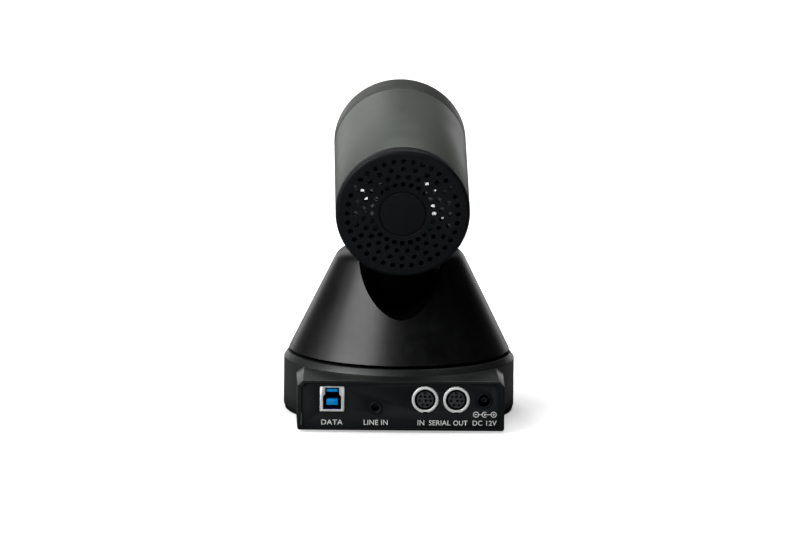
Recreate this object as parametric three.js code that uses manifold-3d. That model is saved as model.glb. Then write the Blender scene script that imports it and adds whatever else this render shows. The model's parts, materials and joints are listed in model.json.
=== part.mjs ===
// A pan-tilt-zoom camera: a round base with a connector box, a conical turret that pans on it,
// and a barrel head that tilts in the turret's U-shaped channel.
// Millimetres, +Z up. The origin is on the ground, in the middle of the footprint.
// The lens looks towards -Y and the connector panel faces +Y.
import * as THREE from 'three';
import { mergeVertices } from 'three/addons/utils/BufferGeometryUtils.js';
import Module from 'manifold-3d';

const wasm = await Module();
wasm.setup();

// ---- driving dimensions ----------------------------------------------------------------
const GAP = 0.3;                 // clearance between pieces that touch
const WIDE = 56;                 // sides of the base and the turret
const ROUND = 40;                // sides of the barrel
const MIDDLE = 24;               // sides of a bearing or a lens housing
const FINE = 12;                 // sides of a small round shape

const FOOT_HEIGHT = 1.2;
const FOOT_RADIUS = 5;
const SKIRT_DROP = 1;            // the housing's lower edge hides most of the feet

const BASE_RADIUS = 57.35;
const BASE_WALL = 2.4;
const BASE_CREASE_Z = 1.5;       // bottom of the straight wall, above the drawn-in edge
const BASE_SHOULDER_Z = 24.8;    // top of the straight wall, under the chamfer
const BASE_TOP_Z = 27.6;
const BASE_TOP_RADIUS = 55.3;
const DECK_RIM = 51.5;           // inner radius of the rim round the deck
const DECK_TOP_Z = 27.2;
const DECK_UNDER_Z = 24.8;
const DECK_HOLE_RADIUS = 14;
const PLATE_LOW_Z = 0.3;
const PLATE_TOP_Z = 2.3;
const TRIPOD_INSERT_RADIUS = 5;
const TRIPOD_BORE = 2.6;

const BOX_HALF_WIDTH = 50.85;    // at the rear; the box widens a little towards the ring
const BOX_START_Y = 20;
const BOX_REAR_Y = 70;           // from the pan axis
const BOX_FLARE = 0.55;          // added half width at BOX_START_Y
const BOX_HEIGHT = 24.7;
const BOX_CHAMFER = 2.6;         // of the upper side edges at the rear
const BOX_START_CHAMFER = 4;     // and at BOX_START_Y
const BOX_LIP_DEPTH = 3;         // how far the mouth runs in before the box hollows out
const BOX_SIDE_RIM = 1.9;
const BOX_TOP_RIM = 1.25;
const BOX_BOTTOM_RIM = 1.1;
const PAN_AXIS_Y = (BASE_RADIUS - BOX_REAR_Y) / 2;   // centres the footprint on the origin

const PANEL_FACE_Y = 69.2;
const PANEL_THICK = 1.6;
const PORT_FACE_Y = 69.7;
const PORT_BACK_Y = 54;
const PORT_FLOOR_Y = 59;         // floor of the data port
const TONGUE_TIP_Y = 68.6;

const IR_WINDOW = { halfWidth: 13.6, low: 6.4, top: 17.6, inner: 55.3, outer: 57 };
const LAMP = { x: 19, z: 12, radius: 1.3 };
const MAIN_BOARD = { low: [-46, 14, 5.9], high: [46, 64, 7.5] };

const SKIRT_Z = 28.9;            // lower edge of the turret
const CONE_FOOT_RADIUS = 54.6;   // radius of the cone's side at CONE_FOOT_Z
const CONE_FOOT_Z = 29.3;
const CONE_SLOPE = 0.4867;       // loss of radius per millimetre of height
const SHOULDER_Z = 75.1;         // where the straight side ends
const SHOULDER_RADIUS = 8;       // the arc from the side to the flat top
const TURRET_WALL = 2.4;         // measured level

const CHANNEL_HALF_WIDTH = 20.75;
const CHANNEL_DEPTH = 27;        // from CHANNEL_TOP_Z down to the floor
const CHANNEL_TOP_Z = 77.3;      // above it the sides of the channel are upright
const CHANNEL_POWER = 1.8;       // roundness of the channel's floor
const CHANNEL_WALL = 2;

const PIVOT_Z = 70.5;            // tilt axis
const REST_TILT = 11;            // degrees that the lens looks up in the stored position
const HEAD_AXIS = 47.5;          // barrel axis above the tilt axis
const HEAD_RADIUS = 33;
const HEAD_REAR = 55;            // rear face behind the tilt axis
const HEAD_FRONT = 51.5;         // front rim ahead of the tilt axis
const FRONT_RING_LENGTH = 15;
const REAR_CAP_LENGTH = 5.4;
const SLEEVE_WALL = 2;
const STEM_HALF_X = 14.5;        // of the oval stem between the hub and the barrel
const STEM_HALF_Y = 16.5;
const GUIDE_ROD_X = 14.3;
const ZOOM_REST_Y = -20;
const FOCUS_REST_Y = -3;

const MODULE = 0.8;              // of both gear pairs
const GEAR_TEETH = 60;
const PINION_TEETH = 12;
const GEAR_RADIUS = MODULE * GEAR_TEETH / 2;
const PINION_RADIUS = MODULE * PINION_TEETH / 2;
const GEAR_CENTRES = GEAR_RADIUS + PINION_RADIUS;
const PAN_GEAR_Z = 28;
const PAN_GEAR_THICK = 3;
const PAN_PINION_ANGLE = 225;    // degrees round the pan axis
const SECTOR_X = 25.2;
const SECTOR_THICK = 2.5;
const SECTOR_HUB_RADIUS = 5.8;
const SECTOR_HALF_ANGLE = 36;    // degrees
const TILT_PINION_Z = PIVOT_Z - GEAR_CENTRES;

const TURNTABLE_LOW_Z = 33.5;
const TURNTABLE_TOP_Z = 35.7;
const TURNTABLE_RADIUS = 47;
const HUB_RADIUS = 12.9;
const HUB_BORE = 8.5;
const SHAFT_RADIUS = 4.2;
const SHAFT_BORE = 2.5;          // of the right shaft, which the head's wires run through
const BUSH_RADIUS = 5.7;
const BUSH_FLANGE_RADIUS = 6.5;

const POST_RADIUS = 3.2;         // of the posts that the screws bite into
const SCREW_RADIUS = 1.2;
const SCREW_HEAD_RADIUS = 2.4;
const SCREW_HEAD_HEIGHT = 0.6;
const SCREW_HOLE = 1.6;
const BASE_POSTS = [[0, -46], [-40, 8], [40, 8]];
const FOOT_PLACES = [[34, -32], [-34, -32], [42, 50], [-42, 50]];
const TURRET_SCREW_ANGLES = [60, 180, 300];
const TURRET_SCREW_CIRCLE = 43;

// Connectors: x to the left when seen from behind, z above the underside of the housing.
const DATA_PORT = { x: 33.8, z: 15.4, width: 12.04, height: 12.3 };
const LINE_JACK = { x: 12.4, z: 11.1, radius: 3.2, bore: 1.8 };
const SERIAL_IN = { x: -11.9, z: 15.3 };
const SERIAL_OUT = { x: -27.3, z: 15.3 };
const SERIAL_RADIUS = 6.6;
const SERIAL_BORE = 4.85;
const SERIAL_FACE_Y = 68.7;      // face of the contact insert
const POWER_JACK = { x: -40.9, z: 15.1, radius: 3.8, bore: 3.07, pin: 1.0 };

// Vent holes of the rear cap: rings from the outside in.
const VENT_HOLE_RADIUS = 1.15;
const VENT_RINGS = [
  { radius: 27.2, count: 36, phase: 0 },
  { radius: 23.2, count: 24, phase: 0 },
  { radius: 19.25, count: 24, phase: 7.5 },
  { radius: 15.3, count: 24, phase: 0 },
];

// ---- materials ---------------------------------------------------------------------------
function finish(color, roughness, metalness = 0) {
  return new THREE.MeshStandardMaterial({ color, roughness, metalness });
}

const SATIN_BLACK = finish(0x17181a, 0.45);
const MATTE_BLACK = finish(0x121316, 0.6);
const SLEEVE_GREY = finish(0x3b403d, 0.5, 0.3);
const RING_GREY = finish(0x2f302e, 0.5);
const PANEL_BLACK = finish(0x1e2022, 0.55);
const NICKEL = finish(0xc9c9c6, 0.25, 1);
const STEEL = finish(0x9a9c9f, 0.35, 1);
const ALUMINIUM = finish(0xc4c6c8, 0.4, 1);
const BRASS = finish(0xb08d4a, 0.35, 1);
const ACETAL = finish(0xe6e3d8, 0.5);
const BLUE_PLASTIC = finish(0x3f8fd2, 0.4);
const GREY_PLASTIC = finish(0x55575a, 0.5);
const BOARD_GREEN = finish(0x1f5a38, 0.5);
const RUBBER = finish(0x101010, 0.9);
const GLASS = finish(0x8fa3b0, 0.05);
const SMOKED_GLASS = finish(0x15161a, 0.08);
const RED_PLASTIC = finish(0x2a0a0c, 0.15);
const GREEN_LENS = finish(0x7fd08a, 0.2);
const CABLE_GREY = finish(0x2b2b2f, 0.6);

// ---- geometry helpers ----------------------------------------------------------------------
const radians = THREE.MathUtils.degToRad;

// Merges a geometry's vertices, drops empty triangles and turns its faces outwards.
function closed(source) {
  const plain = source.clone();
  plain.deleteAttribute('normal');
  plain.deleteAttribute('uv');
  const merged = mergeVertices(plain, 1e-4);
  const position = merged.getAttribute('position');
  const kept = [];
  const corners = [new THREE.Vector3(), new THREE.Vector3(), new THREE.Vector3()];
  let volume = 0;
  for (let i = 0; i < merged.index.count; i += 3) {
    const ids = [0, 1, 2].map((k) => merged.index.getX(i + k));
    if (new Set(ids).size < 3) {
      continue;
    }
    kept.push(...ids);
    ids.forEach((id, k) => corners[k].fromBufferAttribute(position, id));
    volume += corners[0].dot(corners[1].cross(corners[2]));
  }
  if (volume < 0) {
    kept.reverse();
  }
  merged.setIndex(kept);
  return merged;
}

function toSolid(source) {
  const mesh = closed(source);
  return new wasm.Manifold(new wasm.Mesh({
    numProp: 3,
    vertProperties: new Float32Array(mesh.getAttribute('position').array),
    triVerts: new Uint32Array(mesh.index.array),
  }));
}

function toGeometry(solid) {
  const mesh = solid.getMesh();
  const result = new THREE.BufferGeometry();
  result.setAttribute('position', new THREE.BufferAttribute(new Float32Array(mesh.vertProperties), 3));
  result.setIndex(new THREE.BufferAttribute(new Uint32Array(mesh.triVerts), 1));
  return result;
}

function join(first, ...others) {
  return toGeometry(others.reduce((sum, next) => sum.add(toSolid(next)), toSolid(first)));
}

function cut(body, ...tools) {
  return toGeometry(tools.reduce((rest, tool) => rest.subtract(toSolid(tool)), toSolid(body)));
}

function common(first, second) {
  return toGeometry(toSolid(first).intersect(toSolid(second)));
}

// Turns a profile of [radius, z] pairs round the Z axis. A profile off the axis closes on itself.
function revolve(profile, sides = ROUND) {
  const points = profile.map(([r, z]) => new THREE.Vector2(r, z));
  if (profile[0][0] > 0 || profile[profile.length - 1][0] > 0) {
    points.push(points[0].clone());
  }
  return closed(new THREE.LatheGeometry(points, sides).rotateX(Math.PI / 2));
}

// The same, round an axis along Y: pairs are [radius, y].
function revolveY(profile, sides = ROUND) {
  return closed(revolve(profile.map(([r, y]) => [r, -y]), sides).rotateX(Math.PI / 2));
}

// The same, round an axis along X: pairs are [radius, x].
function revolveX(profile, sides = ROUND) {
  return revolve(profile, sides).rotateY(Math.PI / 2);
}

function rod(radius, low, high, sides = FINE) {
  return revolve([[0, low], [radius, low], [radius, high], [0, high]], sides);
}

function rodY(radius, low, high, sides = FINE) {
  return revolveY([[0, low], [radius, low], [radius, high], [0, high]], sides);
}

function rodX(radius, low, high, sides = FINE) {
  return revolveX([[0, low], [radius, low], [radius, high], [0, high]], sides);
}

function ring(inner, outer, low, high, sides = FINE) {
  return revolve([[inner, low], [outer, low], [outer, high], [inner, high]], sides);
}

// A block between two corners.
function block(low, high) {
  const size = high.map((value, i) => value - low[i]);
  const middle = high.map((value, i) => (value + low[i]) / 2);
  return new THREE.BoxGeometry(...size).translate(...middle);
}

// Extrudes an outline of [x, z] pairs along Y, from low to high.
function extrudeY(outline, low, high) {
  const shape = new THREE.Shape(outline.map(([x, z]) => new THREE.Vector2(x, z)));
  const options = { depth: high - low, bevelEnabled: false };
  return closed(new THREE.ExtrudeGeometry(shape, options).rotateX(Math.PI / 2).translate(0, high, 0));
}

// Extrudes an outline of [x, y] pairs along Z, from low to high.
function extrudeZ(outline, low, high) {
  const shape = new THREE.Shape(outline.map(([x, y]) => new THREE.Vector2(x, y)));
  const options = { depth: high - low, bevelEnabled: false };
  return closed(new THREE.ExtrudeGeometry(shape, options).translate(0, 0, low));
}

// A straight loft along Y between two outlines with the same number of [x, z] points.
function loftY(lowOutline, highOutline, low, high) {
  const count = lowOutline.length;
  const position = [];
  for (const [outline, y] of [[lowOutline, low], [highOutline, high]]) {
    outline.forEach(([x, z]) => position.push(x, y, z));
  }
  const index = [];
  for (let i = 0; i < count; i += 1) {
    const next = (i + 1) % count;
    index.push(i, next, count + next, i, count + next, count + i);
  }
  for (let i = 1; i < count - 1; i += 1) {
    index.push(0, i + 1, i, count, count + i, count + i + 1);
  }
  const geometry = new THREE.BufferGeometry();
  geometry.setAttribute('position', new THREE.Float32BufferAttribute(position, 3));
  geometry.setIndex(index);
  return closed(geometry);
}

function polar(radius, degrees) {
  return [radius * Math.cos(radians(degrees)), radius * Math.sin(radians(degrees))];
}

function oval(halfX, halfY) {
  return Array.from({ length: MIDDLE }, (_, i) => {
    const angle = 2 * Math.PI * i / MIDDLE;
    return [halfX * Math.cos(angle), halfY * Math.sin(angle)];
  });
}

function addMesh(group, name, geometry, material, position = [0, 0, 0]) {
  const shown = closed(geometry);
  shown.computeVertexNormals();
  const mesh = new THREE.Mesh(shown, material);
  mesh.name = name;
  mesh.position.set(...position);
  group.add(mesh);
}

// Outline of gear teeth from tooth number first to last, with tooth 0 centred on 0 degrees.
// Straight-sided teeth, cut thin for running clearance.
function teeth(count, first, last) {
  const pitch = 360 / count;
  const pitchRadius = MODULE * count / 2;
  const tip = pitchRadius + 0.75 * MODULE;
  const root = pitchRadius - 1.1 * MODULE;
  const points = [];
  for (let i = first; i <= last; i += 1) {
    const middle = i * pitch;
    points.push(polar(root, middle - 0.31 * pitch));
    points.push(polar(tip, middle - 0.11 * pitch));
    points.push(polar(tip, middle + 0.11 * pitch));
    points.push(polar(root, middle + 0.31 * pitch));
  }
  return points;
}

function pinion() {
  const body = extrudeZ(teeth(PINION_TEETH, 0, PINION_TEETH - 1), 0, PAN_GEAR_THICK);
  return cut(body, rod(1.3, -1, PAN_GEAR_THICK + 1));
}

function screw(length) {
  return revolve([
    [0, 0],
    [SCREW_HEAD_RADIUS, 0],
    [SCREW_HEAD_RADIUS, SCREW_HEAD_HEIGHT],
    [SCREW_RADIUS, SCREW_HEAD_HEIGHT],
    [SCREW_RADIUS, length],
    [0, length],
  ], 8);
}

// ---- base ----------------------------------------------------------------------------------
function boxOutline(half, low, top, chamfer) {
  const small = 0.8;
  return [
    [-half + small, low],
    [half - small, low],
    [half, low + small],
    [half, top - chamfer],
    [half - chamfer, top],
    [-half + chamfer, top],
    [-half, top - chamfer],
    [-half, low + small],
  ];
}

function baseHousing() {
  const inner = BASE_RADIUS - BASE_WALL;
  const shell = revolve([
    [DECK_HOLE_RADIUS, DECK_UNDER_Z],
    [inner, DECK_UNDER_Z],
    [inner, -SKIRT_DROP],
    [BASE_RADIUS - 0.75, -SKIRT_DROP],
    [BASE_RADIUS, BASE_CREASE_Z],
    [BASE_RADIUS, BASE_SHOULDER_Z],
    [BASE_TOP_RADIUS, BASE_TOP_Z],
    [DECK_RIM, BASE_TOP_Z],
    [DECK_RIM - 0.4, DECK_TOP_Z],
    [DECK_HOLE_RADIUS, DECK_TOP_Z],
  ], WIDE);
  const roof = BOX_HEIGHT - BOX_TOP_RIM;
  const innerHalf = BOX_HALF_WIDTH - BOX_SIDE_RIM;
  const lipY = BOX_REAR_Y - BOX_LIP_DEPTH;
  const box = loftY(
    boxOutline(BOX_HALF_WIDTH + BOX_FLARE, 0, BOX_HEIGHT, BOX_START_CHAMFER),
    boxOutline(BOX_HALF_WIDTH, 0, BOX_HEIGHT, BOX_CHAMFER),
    BOX_START_Y,
    BOX_REAR_Y,
  );
  const hollow = extrudeY(boxOutline(innerHalf, -2, roof, 2.4), BOX_START_Y - 1, lipY);
  const mouth = extrudeY(boxOutline(innerHalf, BOX_BOTTOM_RIM, roof, 2), lipY - 1, BOX_REAR_Y + 1);
  const keepInside = rod(inner, -2, DECK_UNDER_Z, WIDE);
  const windowHalf = IR_WINDOW.halfWidth + 0.4;
  const windowCut = block([-windowHalf, -60, IR_WINDOW.low - 0.4], [windowHalf, -50, IR_WINDOW.top + 0.4]);
  const lampHole = rodY(LAMP.radius + GAP, -60, -48).translate(LAMP.x, 0, LAMP.z);
  let body = cut(join(shell, box), hollow, mouth, keepInside, windowCut, lampHole);
  for (const [x, y] of BASE_POSTS) {
    const post = rod(POST_RADIUS, PLATE_TOP_Z + GAP, DECK_UNDER_Z + 0.5).translate(x, y, 0);
    const hole = rod(SCREW_HOLE, 0, 14).translate(x, y, 0);
    body = cut(join(body, post), hole);
  }
  return body;
}

function bottomPlate() {
  const disc = rod(BASE_RADIUS - BASE_WALL - GAP, PLATE_LOW_Z, PLATE_TOP_Z, WIDE);
  const half = BOX_HALF_WIDTH - BOX_SIDE_RIM - GAP;
  const slab = block([-half, 0, PLATE_LOW_Z], [half, BOX_REAR_Y - BOX_LIP_DEPTH - GAP, PLATE_TOP_Z]);
  const screwHoles = BASE_POSTS.map(([x, y]) => rod(SCREW_HOLE, -1, 4).translate(x, y, 0));
  return cut(join(disc, slab), rod(TRIPOD_INSERT_RADIUS + GAP, -1, 4), ...screwHoles);
}

function irWindow() {
  const { halfWidth, low, top, inner, outer } = IR_WINDOW;
  return common(ring(inner, outer, low, top, WIDE), block([-halfWidth, -60, 0], [halfWidth, -50, 20]));
}

function rearPanel() {
  const back = PANEL_FACE_Y - PANEL_THICK;
  const roof = BOX_HEIGHT - BOX_TOP_RIM - GAP;
  const half = BOX_HALF_WIDTH - BOX_SIDE_RIM - GAP;
  const plate = extrudeY(boxOutline(half, BOX_BOTTOM_RIM + GAP, roof, 2), back, PANEL_FACE_Y);
  const low = back - 1;
  const high = PANEL_FACE_Y + 1;
  const halfWidth = DATA_PORT.width / 2 + GAP;
  const halfHeight = DATA_PORT.height / 2 + GAP;
  return cut(
    plate,
    block(
      [DATA_PORT.x - halfWidth, low, DATA_PORT.z - halfHeight],
      [DATA_PORT.x + halfWidth, high, DATA_PORT.z + halfHeight],
    ),
    rodY(LINE_JACK.radius + GAP, low, high).translate(LINE_JACK.x, 0, LINE_JACK.z),
    rodY(SERIAL_RADIUS + GAP, low, high, MIDDLE).translate(SERIAL_IN.x, 0, SERIAL_IN.z),
    rodY(SERIAL_RADIUS + GAP, low, high, MIDDLE).translate(SERIAL_OUT.x, 0, SERIAL_OUT.z),
    rodY(POWER_JACK.radius + GAP, low, high).translate(POWER_JACK.x, 0, POWER_JACK.z),
  );
}

// The opening is a wide lower step with a narrower upper one.
function dataPortShell() {
  const halfWidth = DATA_PORT.width / 2;
  const halfHeight = DATA_PORT.height / 2;
  return cut(
    block([-halfWidth, PORT_BACK_Y, -halfHeight], [halfWidth, PORT_FACE_Y, halfHeight]),
    block([-4.57, PORT_FLOOR_Y, -5.25], [4.57, BOX_REAR_Y, 1.1]),
    block([-3.57, PORT_FLOOR_Y, 1], [3.57, BOX_REAR_Y, 5.5]),
  );
}

function dataPortTongue() {
  return join(
    block([-3.1, PORT_FLOOR_Y + GAP, -4.4], [3.1, PORT_FLOOR_Y + 1.3, 4.9]),
    block([-2.9, PORT_FLOOR_Y + 1, -2.8], [2.9, TONGUE_TIP_Y, 0.7]),
    block([-2.75, PORT_FLOOR_Y + 1, 3.6], [2.75, TONGUE_TIP_Y, 4.9]),
  );
}

// A barrel jack or headphone jack: a round socket with a closed back.
function roundSocket(radius, bore, floorY) {
  return revolveY([
    [0, PORT_BACK_Y],
    [radius, PORT_BACK_Y],
    [radius, PORT_FACE_Y],
    [bore, PORT_FACE_Y],
    [bore, floorY],
    [0, floorY],
  ], 16);
}

function serialShell() {
  return revolveY([
    [SERIAL_BORE, PORT_FLOOR_Y - 1],
    [SERIAL_RADIUS, PORT_FLOOR_Y - 1],
    [SERIAL_RADIUS, PORT_FACE_Y],
    [SERIAL_BORE, PORT_FACE_Y],
  ], MIDDLE);
}

// Eight contact holes in rows of three, three and two, with a key slot at the top.
function serialInsert() {
  const rows = [[1.7, [-2.4, 0, 2.4]], [-0.3, [-2.9, 0.6, 2.9]], [-2.5, [-1.3, 1.3]]];
  const hole = (x, z) => rodY(0.5, 65, BOX_REAR_Y, 4).translate(x, 0, z);
  const holes = rows.flatMap(([z, places]) => places.map((x) => hole(x, z)));
  const key = block([-0.7, 63, 3.2], [0.7, BOX_REAR_Y, 6]);
  return cut(rodY(SERIAL_BORE - GAP, PORT_FLOOR_Y, SERIAL_FACE_Y, MIDDLE), key, ...holes);
}

function wireHarness() {
  const route = new THREE.CatmullRomCurve3([
    new THREE.Vector3(0, 24, 8.6),
    new THREE.Vector3(0, 22, 14),
    new THREE.Vector3(0, 10, 17.5),
    new THREE.Vector3(0, 1.5, 22),
    new THREE.Vector3(0, 0, 28),
    new THREE.Vector3(0, 0, 40),
  ]);
  const corners = Array.from({ length: 8 }, (_, i) => new THREE.Vector2(...polar(2.2, i * 45)));
  const options = { steps: 14, bevelEnabled: false, extrudePath: route };
  return new THREE.ExtrudeGeometry(new THREE.Shape(corners), options);
}

function makeBase() {
  const base = new THREE.Group();
  addMesh(base, 'base_housing', baseHousing(), SATIN_BLACK);
  addMesh(base, 'bottom_plate', bottomPlate(), MATTE_BLACK);
  addMesh(base, 'rear_panel', rearPanel(), PANEL_BLACK);
  addMesh(base, 'ir_window', irWindow(), RED_PLASTIC);
  addMesh(base, 'status_lamp', rodY(LAMP.radius, -53.8, -49), GREEN_LENS, [LAMP.x, 0, LAMP.z]);
  addMesh(base, 'data_port_shell', dataPortShell(), NICKEL, [DATA_PORT.x, 0, DATA_PORT.z]);
  addMesh(base, 'data_port_tongue', dataPortTongue(), BLUE_PLASTIC, [DATA_PORT.x, 0, DATA_PORT.z]);
  const lineJack = roundSocket(LINE_JACK.radius, LINE_JACK.bore, 57);
  addMesh(base, 'line_in_jack', lineJack, MATTE_BLACK, [LINE_JACK.x, 0, LINE_JACK.z]);
  for (const [name, place] of [['serial_in', SERIAL_IN], ['serial_out', SERIAL_OUT]]) {
    addMesh(base, `${name}_shell`, serialShell(), NICKEL, [place.x, 0, place.z]);
    addMesh(base, `${name}_insert`, serialInsert(), GREY_PLASTIC, [place.x, 0, place.z]);
  }
  const powerPlace = [POWER_JACK.x, 0, POWER_JACK.z];
  addMesh(base, 'power_jack', roundSocket(POWER_JACK.radius, POWER_JACK.bore, 58), MATTE_BLACK, powerPlace);
  addMesh(base, 'power_jack_pin', rodY(POWER_JACK.pin, 58 + GAP, 68.6), NICKEL, powerPlace);
  addMesh(base, 'main_board', block(MAIN_BOARD.low, MAIN_BOARD.high), BOARD_GREEN);
  addMesh(base, 'wire_harness', wireHarness(), CABLE_GREY);
  addMesh(base, 'tripod_insert', ring(TRIPOD_BORE, TRIPOD_INSERT_RADIUS, PLATE_LOW_Z, 8, MIDDLE), BRASS);
  addMesh(base, 'pan_bearing_outer', ring(16.5, 18.9, DECK_TOP_Z + GAP, 31.9, MIDDLE), STEEL);
  const panGear = cut(
    extrudeZ(teeth(GEAR_TEETH, 0, GEAR_TEETH - 1), PAN_GEAR_Z, PAN_GEAR_Z + PAN_GEAR_THICK),
    rod(19.5, 0, 40, MIDDLE),
  );
  addMesh(base, 'pan_gear', panGear, ACETAL);
  const foot = () => rod(FOOT_RADIUS, -FOOT_HEIGHT, 0, 16);
  FOOT_PLACES.forEach(([x, y], i) => addMesh(base, `foot_${i + 1}`, foot(), RUBBER, [x, y, 0]));
  BASE_POSTS.forEach(([x, y], i) => {
    addMesh(base, `bottom_screw_${i + 1}`, screw(12), STEEL, [x, y, -SCREW_HEAD_HEIGHT]);
  });
  return base;
}

// ---- turret --------------------------------------------------------------------------------
function coneRadius(z) {
  return CONE_FOOT_RADIUS - CONE_SLOPE * (z - CONE_FOOT_Z);
}

// The turret's side and rounded shoulder, drawn in by a wall thickness.
function conePoints(inset, footZ) {
  const points = [[0, footZ], [coneRadius(footZ) - inset, footZ]];
  const lean = Math.atan(CONE_SLOPE);
  const centreR = coneRadius(SHOULDER_Z) - SHOULDER_RADIUS * Math.cos(lean);
  const centreZ = SHOULDER_Z - SHOULDER_RADIUS * Math.sin(lean);
  const radius = SHOULDER_RADIUS - inset * Math.cos(lean);
  const steps = 4;
  for (let i = 0; i <= steps; i += 1) {
    const angle = lean + (Math.PI / 2 - lean) * i / steps;
    points.push([centreR + radius * Math.cos(angle), centreZ + radius * Math.sin(angle)]);
  }
  points.push([0, centreZ + radius]);
  return points;
}

function channel(grow) {
  const outline = [];
  const steps = 20;
  for (let i = 0; i <= steps; i += 1) {
    const angle = Math.PI * i / steps;
    const across = Math.cos(angle);
    const down = Math.sin(angle);
    const x = (CHANNEL_HALF_WIDTH + grow) * Math.sign(across) * Math.abs(across) ** (2 / CHANNEL_POWER);
    const z = CHANNEL_TOP_Z - (CHANNEL_DEPTH + grow) * Math.abs(down) ** (2 / CHANNEL_POWER);
    outline.push([x, z]);
  }
  outline.push([-CHANNEL_HALF_WIDTH - grow, 90]);
  outline.push([CHANNEL_HALF_WIDTH + grow, 90]);
  return extrudeY(outline, -60, 60);
}

function turretShell() {
  const outside = revolve(conePoints(0, SKIRT_Z), WIDE);
  const inside = revolve(conePoints(TURRET_WALL, SKIRT_Z - 1), WIDE);
  let body = cut(outside, cut(inside, channel(CHANNEL_WALL)));
  for (const side of [-1, 1]) {
    const boss = rodX(8.5, 15, 23.6, 16).scale(side, 1, 1).translate(0, 0, PIVOT_Z);
    body = join(body, boss);
  }
  for (const degrees of TURRET_SCREW_ANGLES) {
    const [x, y] = polar(TURRET_SCREW_CIRCLE, degrees);
    const boss = rod(POST_RADIUS, TURNTABLE_TOP_Z + GAP, 46).translate(x, y, 0);
    body = cut(join(body, boss), rod(SCREW_HOLE, 30, 44).translate(x, y, 0));
  }
  return cut(body, channel(0), rodX(BUSH_RADIUS + GAP, -27, 27, MIDDLE).translate(0, 0, PIVOT_Z));
}

function turntable() {
  const [pinionX, pinionY] = polar(GEAR_CENTRES, PAN_PINION_ANGLE);
  const holes = TURRET_SCREW_ANGLES.map((degrees) => {
    const [x, y] = polar(TURRET_SCREW_CIRCLE, degrees);
    return rod(SCREW_HOLE, 30, 40).translate(x, y, 0);
  });
  const disc = rod(TURNTABLE_RADIUS, TURNTABLE_LOW_Z, TURNTABLE_TOP_Z);
  const hub = rod(HUB_RADIUS, 24.5, 34, MIDDLE);
  const motorHole = rod(3, 30, 40).translate(pinionX, pinionY, 0);
  return cut(join(disc, hub), rod(HUB_BORE, 20, 40, 16), motorHole, ...holes);
}

function motor(radius, length, shaft) {
  return revolve([[0, -shaft], [1, -shaft], [1, 0], [radius, 0], [radius, length], [0, length]], 16);
}

function tiltBracket() {
  const foot = (low, high) => block([14, low, 36], [23.1, high, 37.2]);
  const plate = block([21.9, -12, 36], [23.1, 12, 48]);
  return cut(join(plate, foot(-12, -7), foot(7, 12)), rodX(3, 20, 25).translate(0, 0, TILT_PINION_Z));
}

function tiltBush() {
  return revolveX([
    [SHAFT_RADIUS + 0.15, 19.6],
    [BUSH_RADIUS, 19.6],
    [BUSH_RADIUS, 23.9],
    [BUSH_FLANGE_RADIUS, 23.9],
    [BUSH_FLANGE_RADIUS, 24.7],
    [SHAFT_RADIUS + 0.15, 24.7],
  ], MIDDLE);
}

function makeTurret() {
  const turret = new THREE.Group();
  const [pinionX, pinionY] = polar(GEAR_CENTRES, PAN_PINION_ANGLE);
  addMesh(turret, 'turret_shell', turretShell(), SATIN_BLACK);
  addMesh(turret, 'turntable', turntable(), ALUMINIUM);
  addMesh(turret, 'pan_bearing_inner', ring(HUB_RADIUS + GAP, 15.7, DECK_TOP_Z + GAP, 31.9, MIDDLE), STEEL);
  const panMotor = motor(7.5, 14, TURNTABLE_TOP_Z + GAP - PAN_GEAR_Z + 0.2);
  addMesh(turret, 'pan_motor', panMotor, STEEL, [pinionX, pinionY, TURNTABLE_TOP_Z + GAP]);
  const tiltMotor = motor(5.6, 18.5, 6.6).rotateY(-Math.PI / 2);
  addMesh(turret, 'tilt_motor', tiltMotor, STEEL, [21.5, 0, TILT_PINION_Z]);
  addMesh(turret, 'tilt_bracket', tiltBracket(), STEEL);
  addMesh(turret, 'tilt_bush_left', tiltBush(), BRASS, [0, 0, PIVOT_Z]);
  addMesh(turret, 'tilt_bush_right', tiltBush().scale(-1, 1, 1), BRASS, [0, 0, PIVOT_Z]);
  TURRET_SCREW_ANGLES.forEach((degrees, i) => {
    const [x, y] = polar(TURRET_SCREW_CIRCLE, degrees);
    addMesh(turret, `turret_screw_${i + 1}`, screw(10), STEEL, [x, y, TURNTABLE_LOW_Z - 0.9]);
  });
  // Half a tooth of turn puts a gap of the pinion on the gear's tooth between the centres.
  const panMesh = pinion().rotateZ(radians(PAN_PINION_ANGLE + 180 + meshTurn(PAN_PINION_ANGLE)));
  addMesh(turret, 'pan_pinion', panMesh, BRASS, [pinionX, pinionY, PAN_GEAR_Z]);
  return turret;
}

// Turn of a pinion at an angle round its gear that sets a gap against the gear's nearest tooth.
function meshTurn(degrees) {
  const gearPitch = 360 / GEAR_TEETH;
  const pinionPitch = 360 / PINION_TEETH;
  const offset = degrees - Math.round(degrees / gearPitch) * gearPitch;
  return pinionPitch / 2 + offset * pinionPitch / gearPitch;
}

// ---- head: origin on the tilt axis, barrel axis HEAD_AXIS above it, lens towards -Y ------------
function neck() {
  const half = [[5.5, 16.1], [9.5, 13.5], [13.5, 10], [17, 5], [18.5, 0]];
  const mirrored = half.slice(0, -1).reverse().map(([r, x]) => [r, -x]);
  const hub = revolveX([[0, 16.1], ...half, ...mirrored, [0, -16.1]], MIDDLE);
  const stem = extrudeZ(oval(STEM_HALF_X, STEM_HALF_Y), 3, HEAD_AXIS - 25);
  return cut(
    join(hub, stem),
    rodX(SHAFT_RADIUS + GAP, 7.7, 18),
    rodX(SHAFT_RADIUS + GAP, -18, -7.7),
    rodX(SHAFT_BORE, -9, 0),
    rod(4, 0, 30),
  );
}

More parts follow.
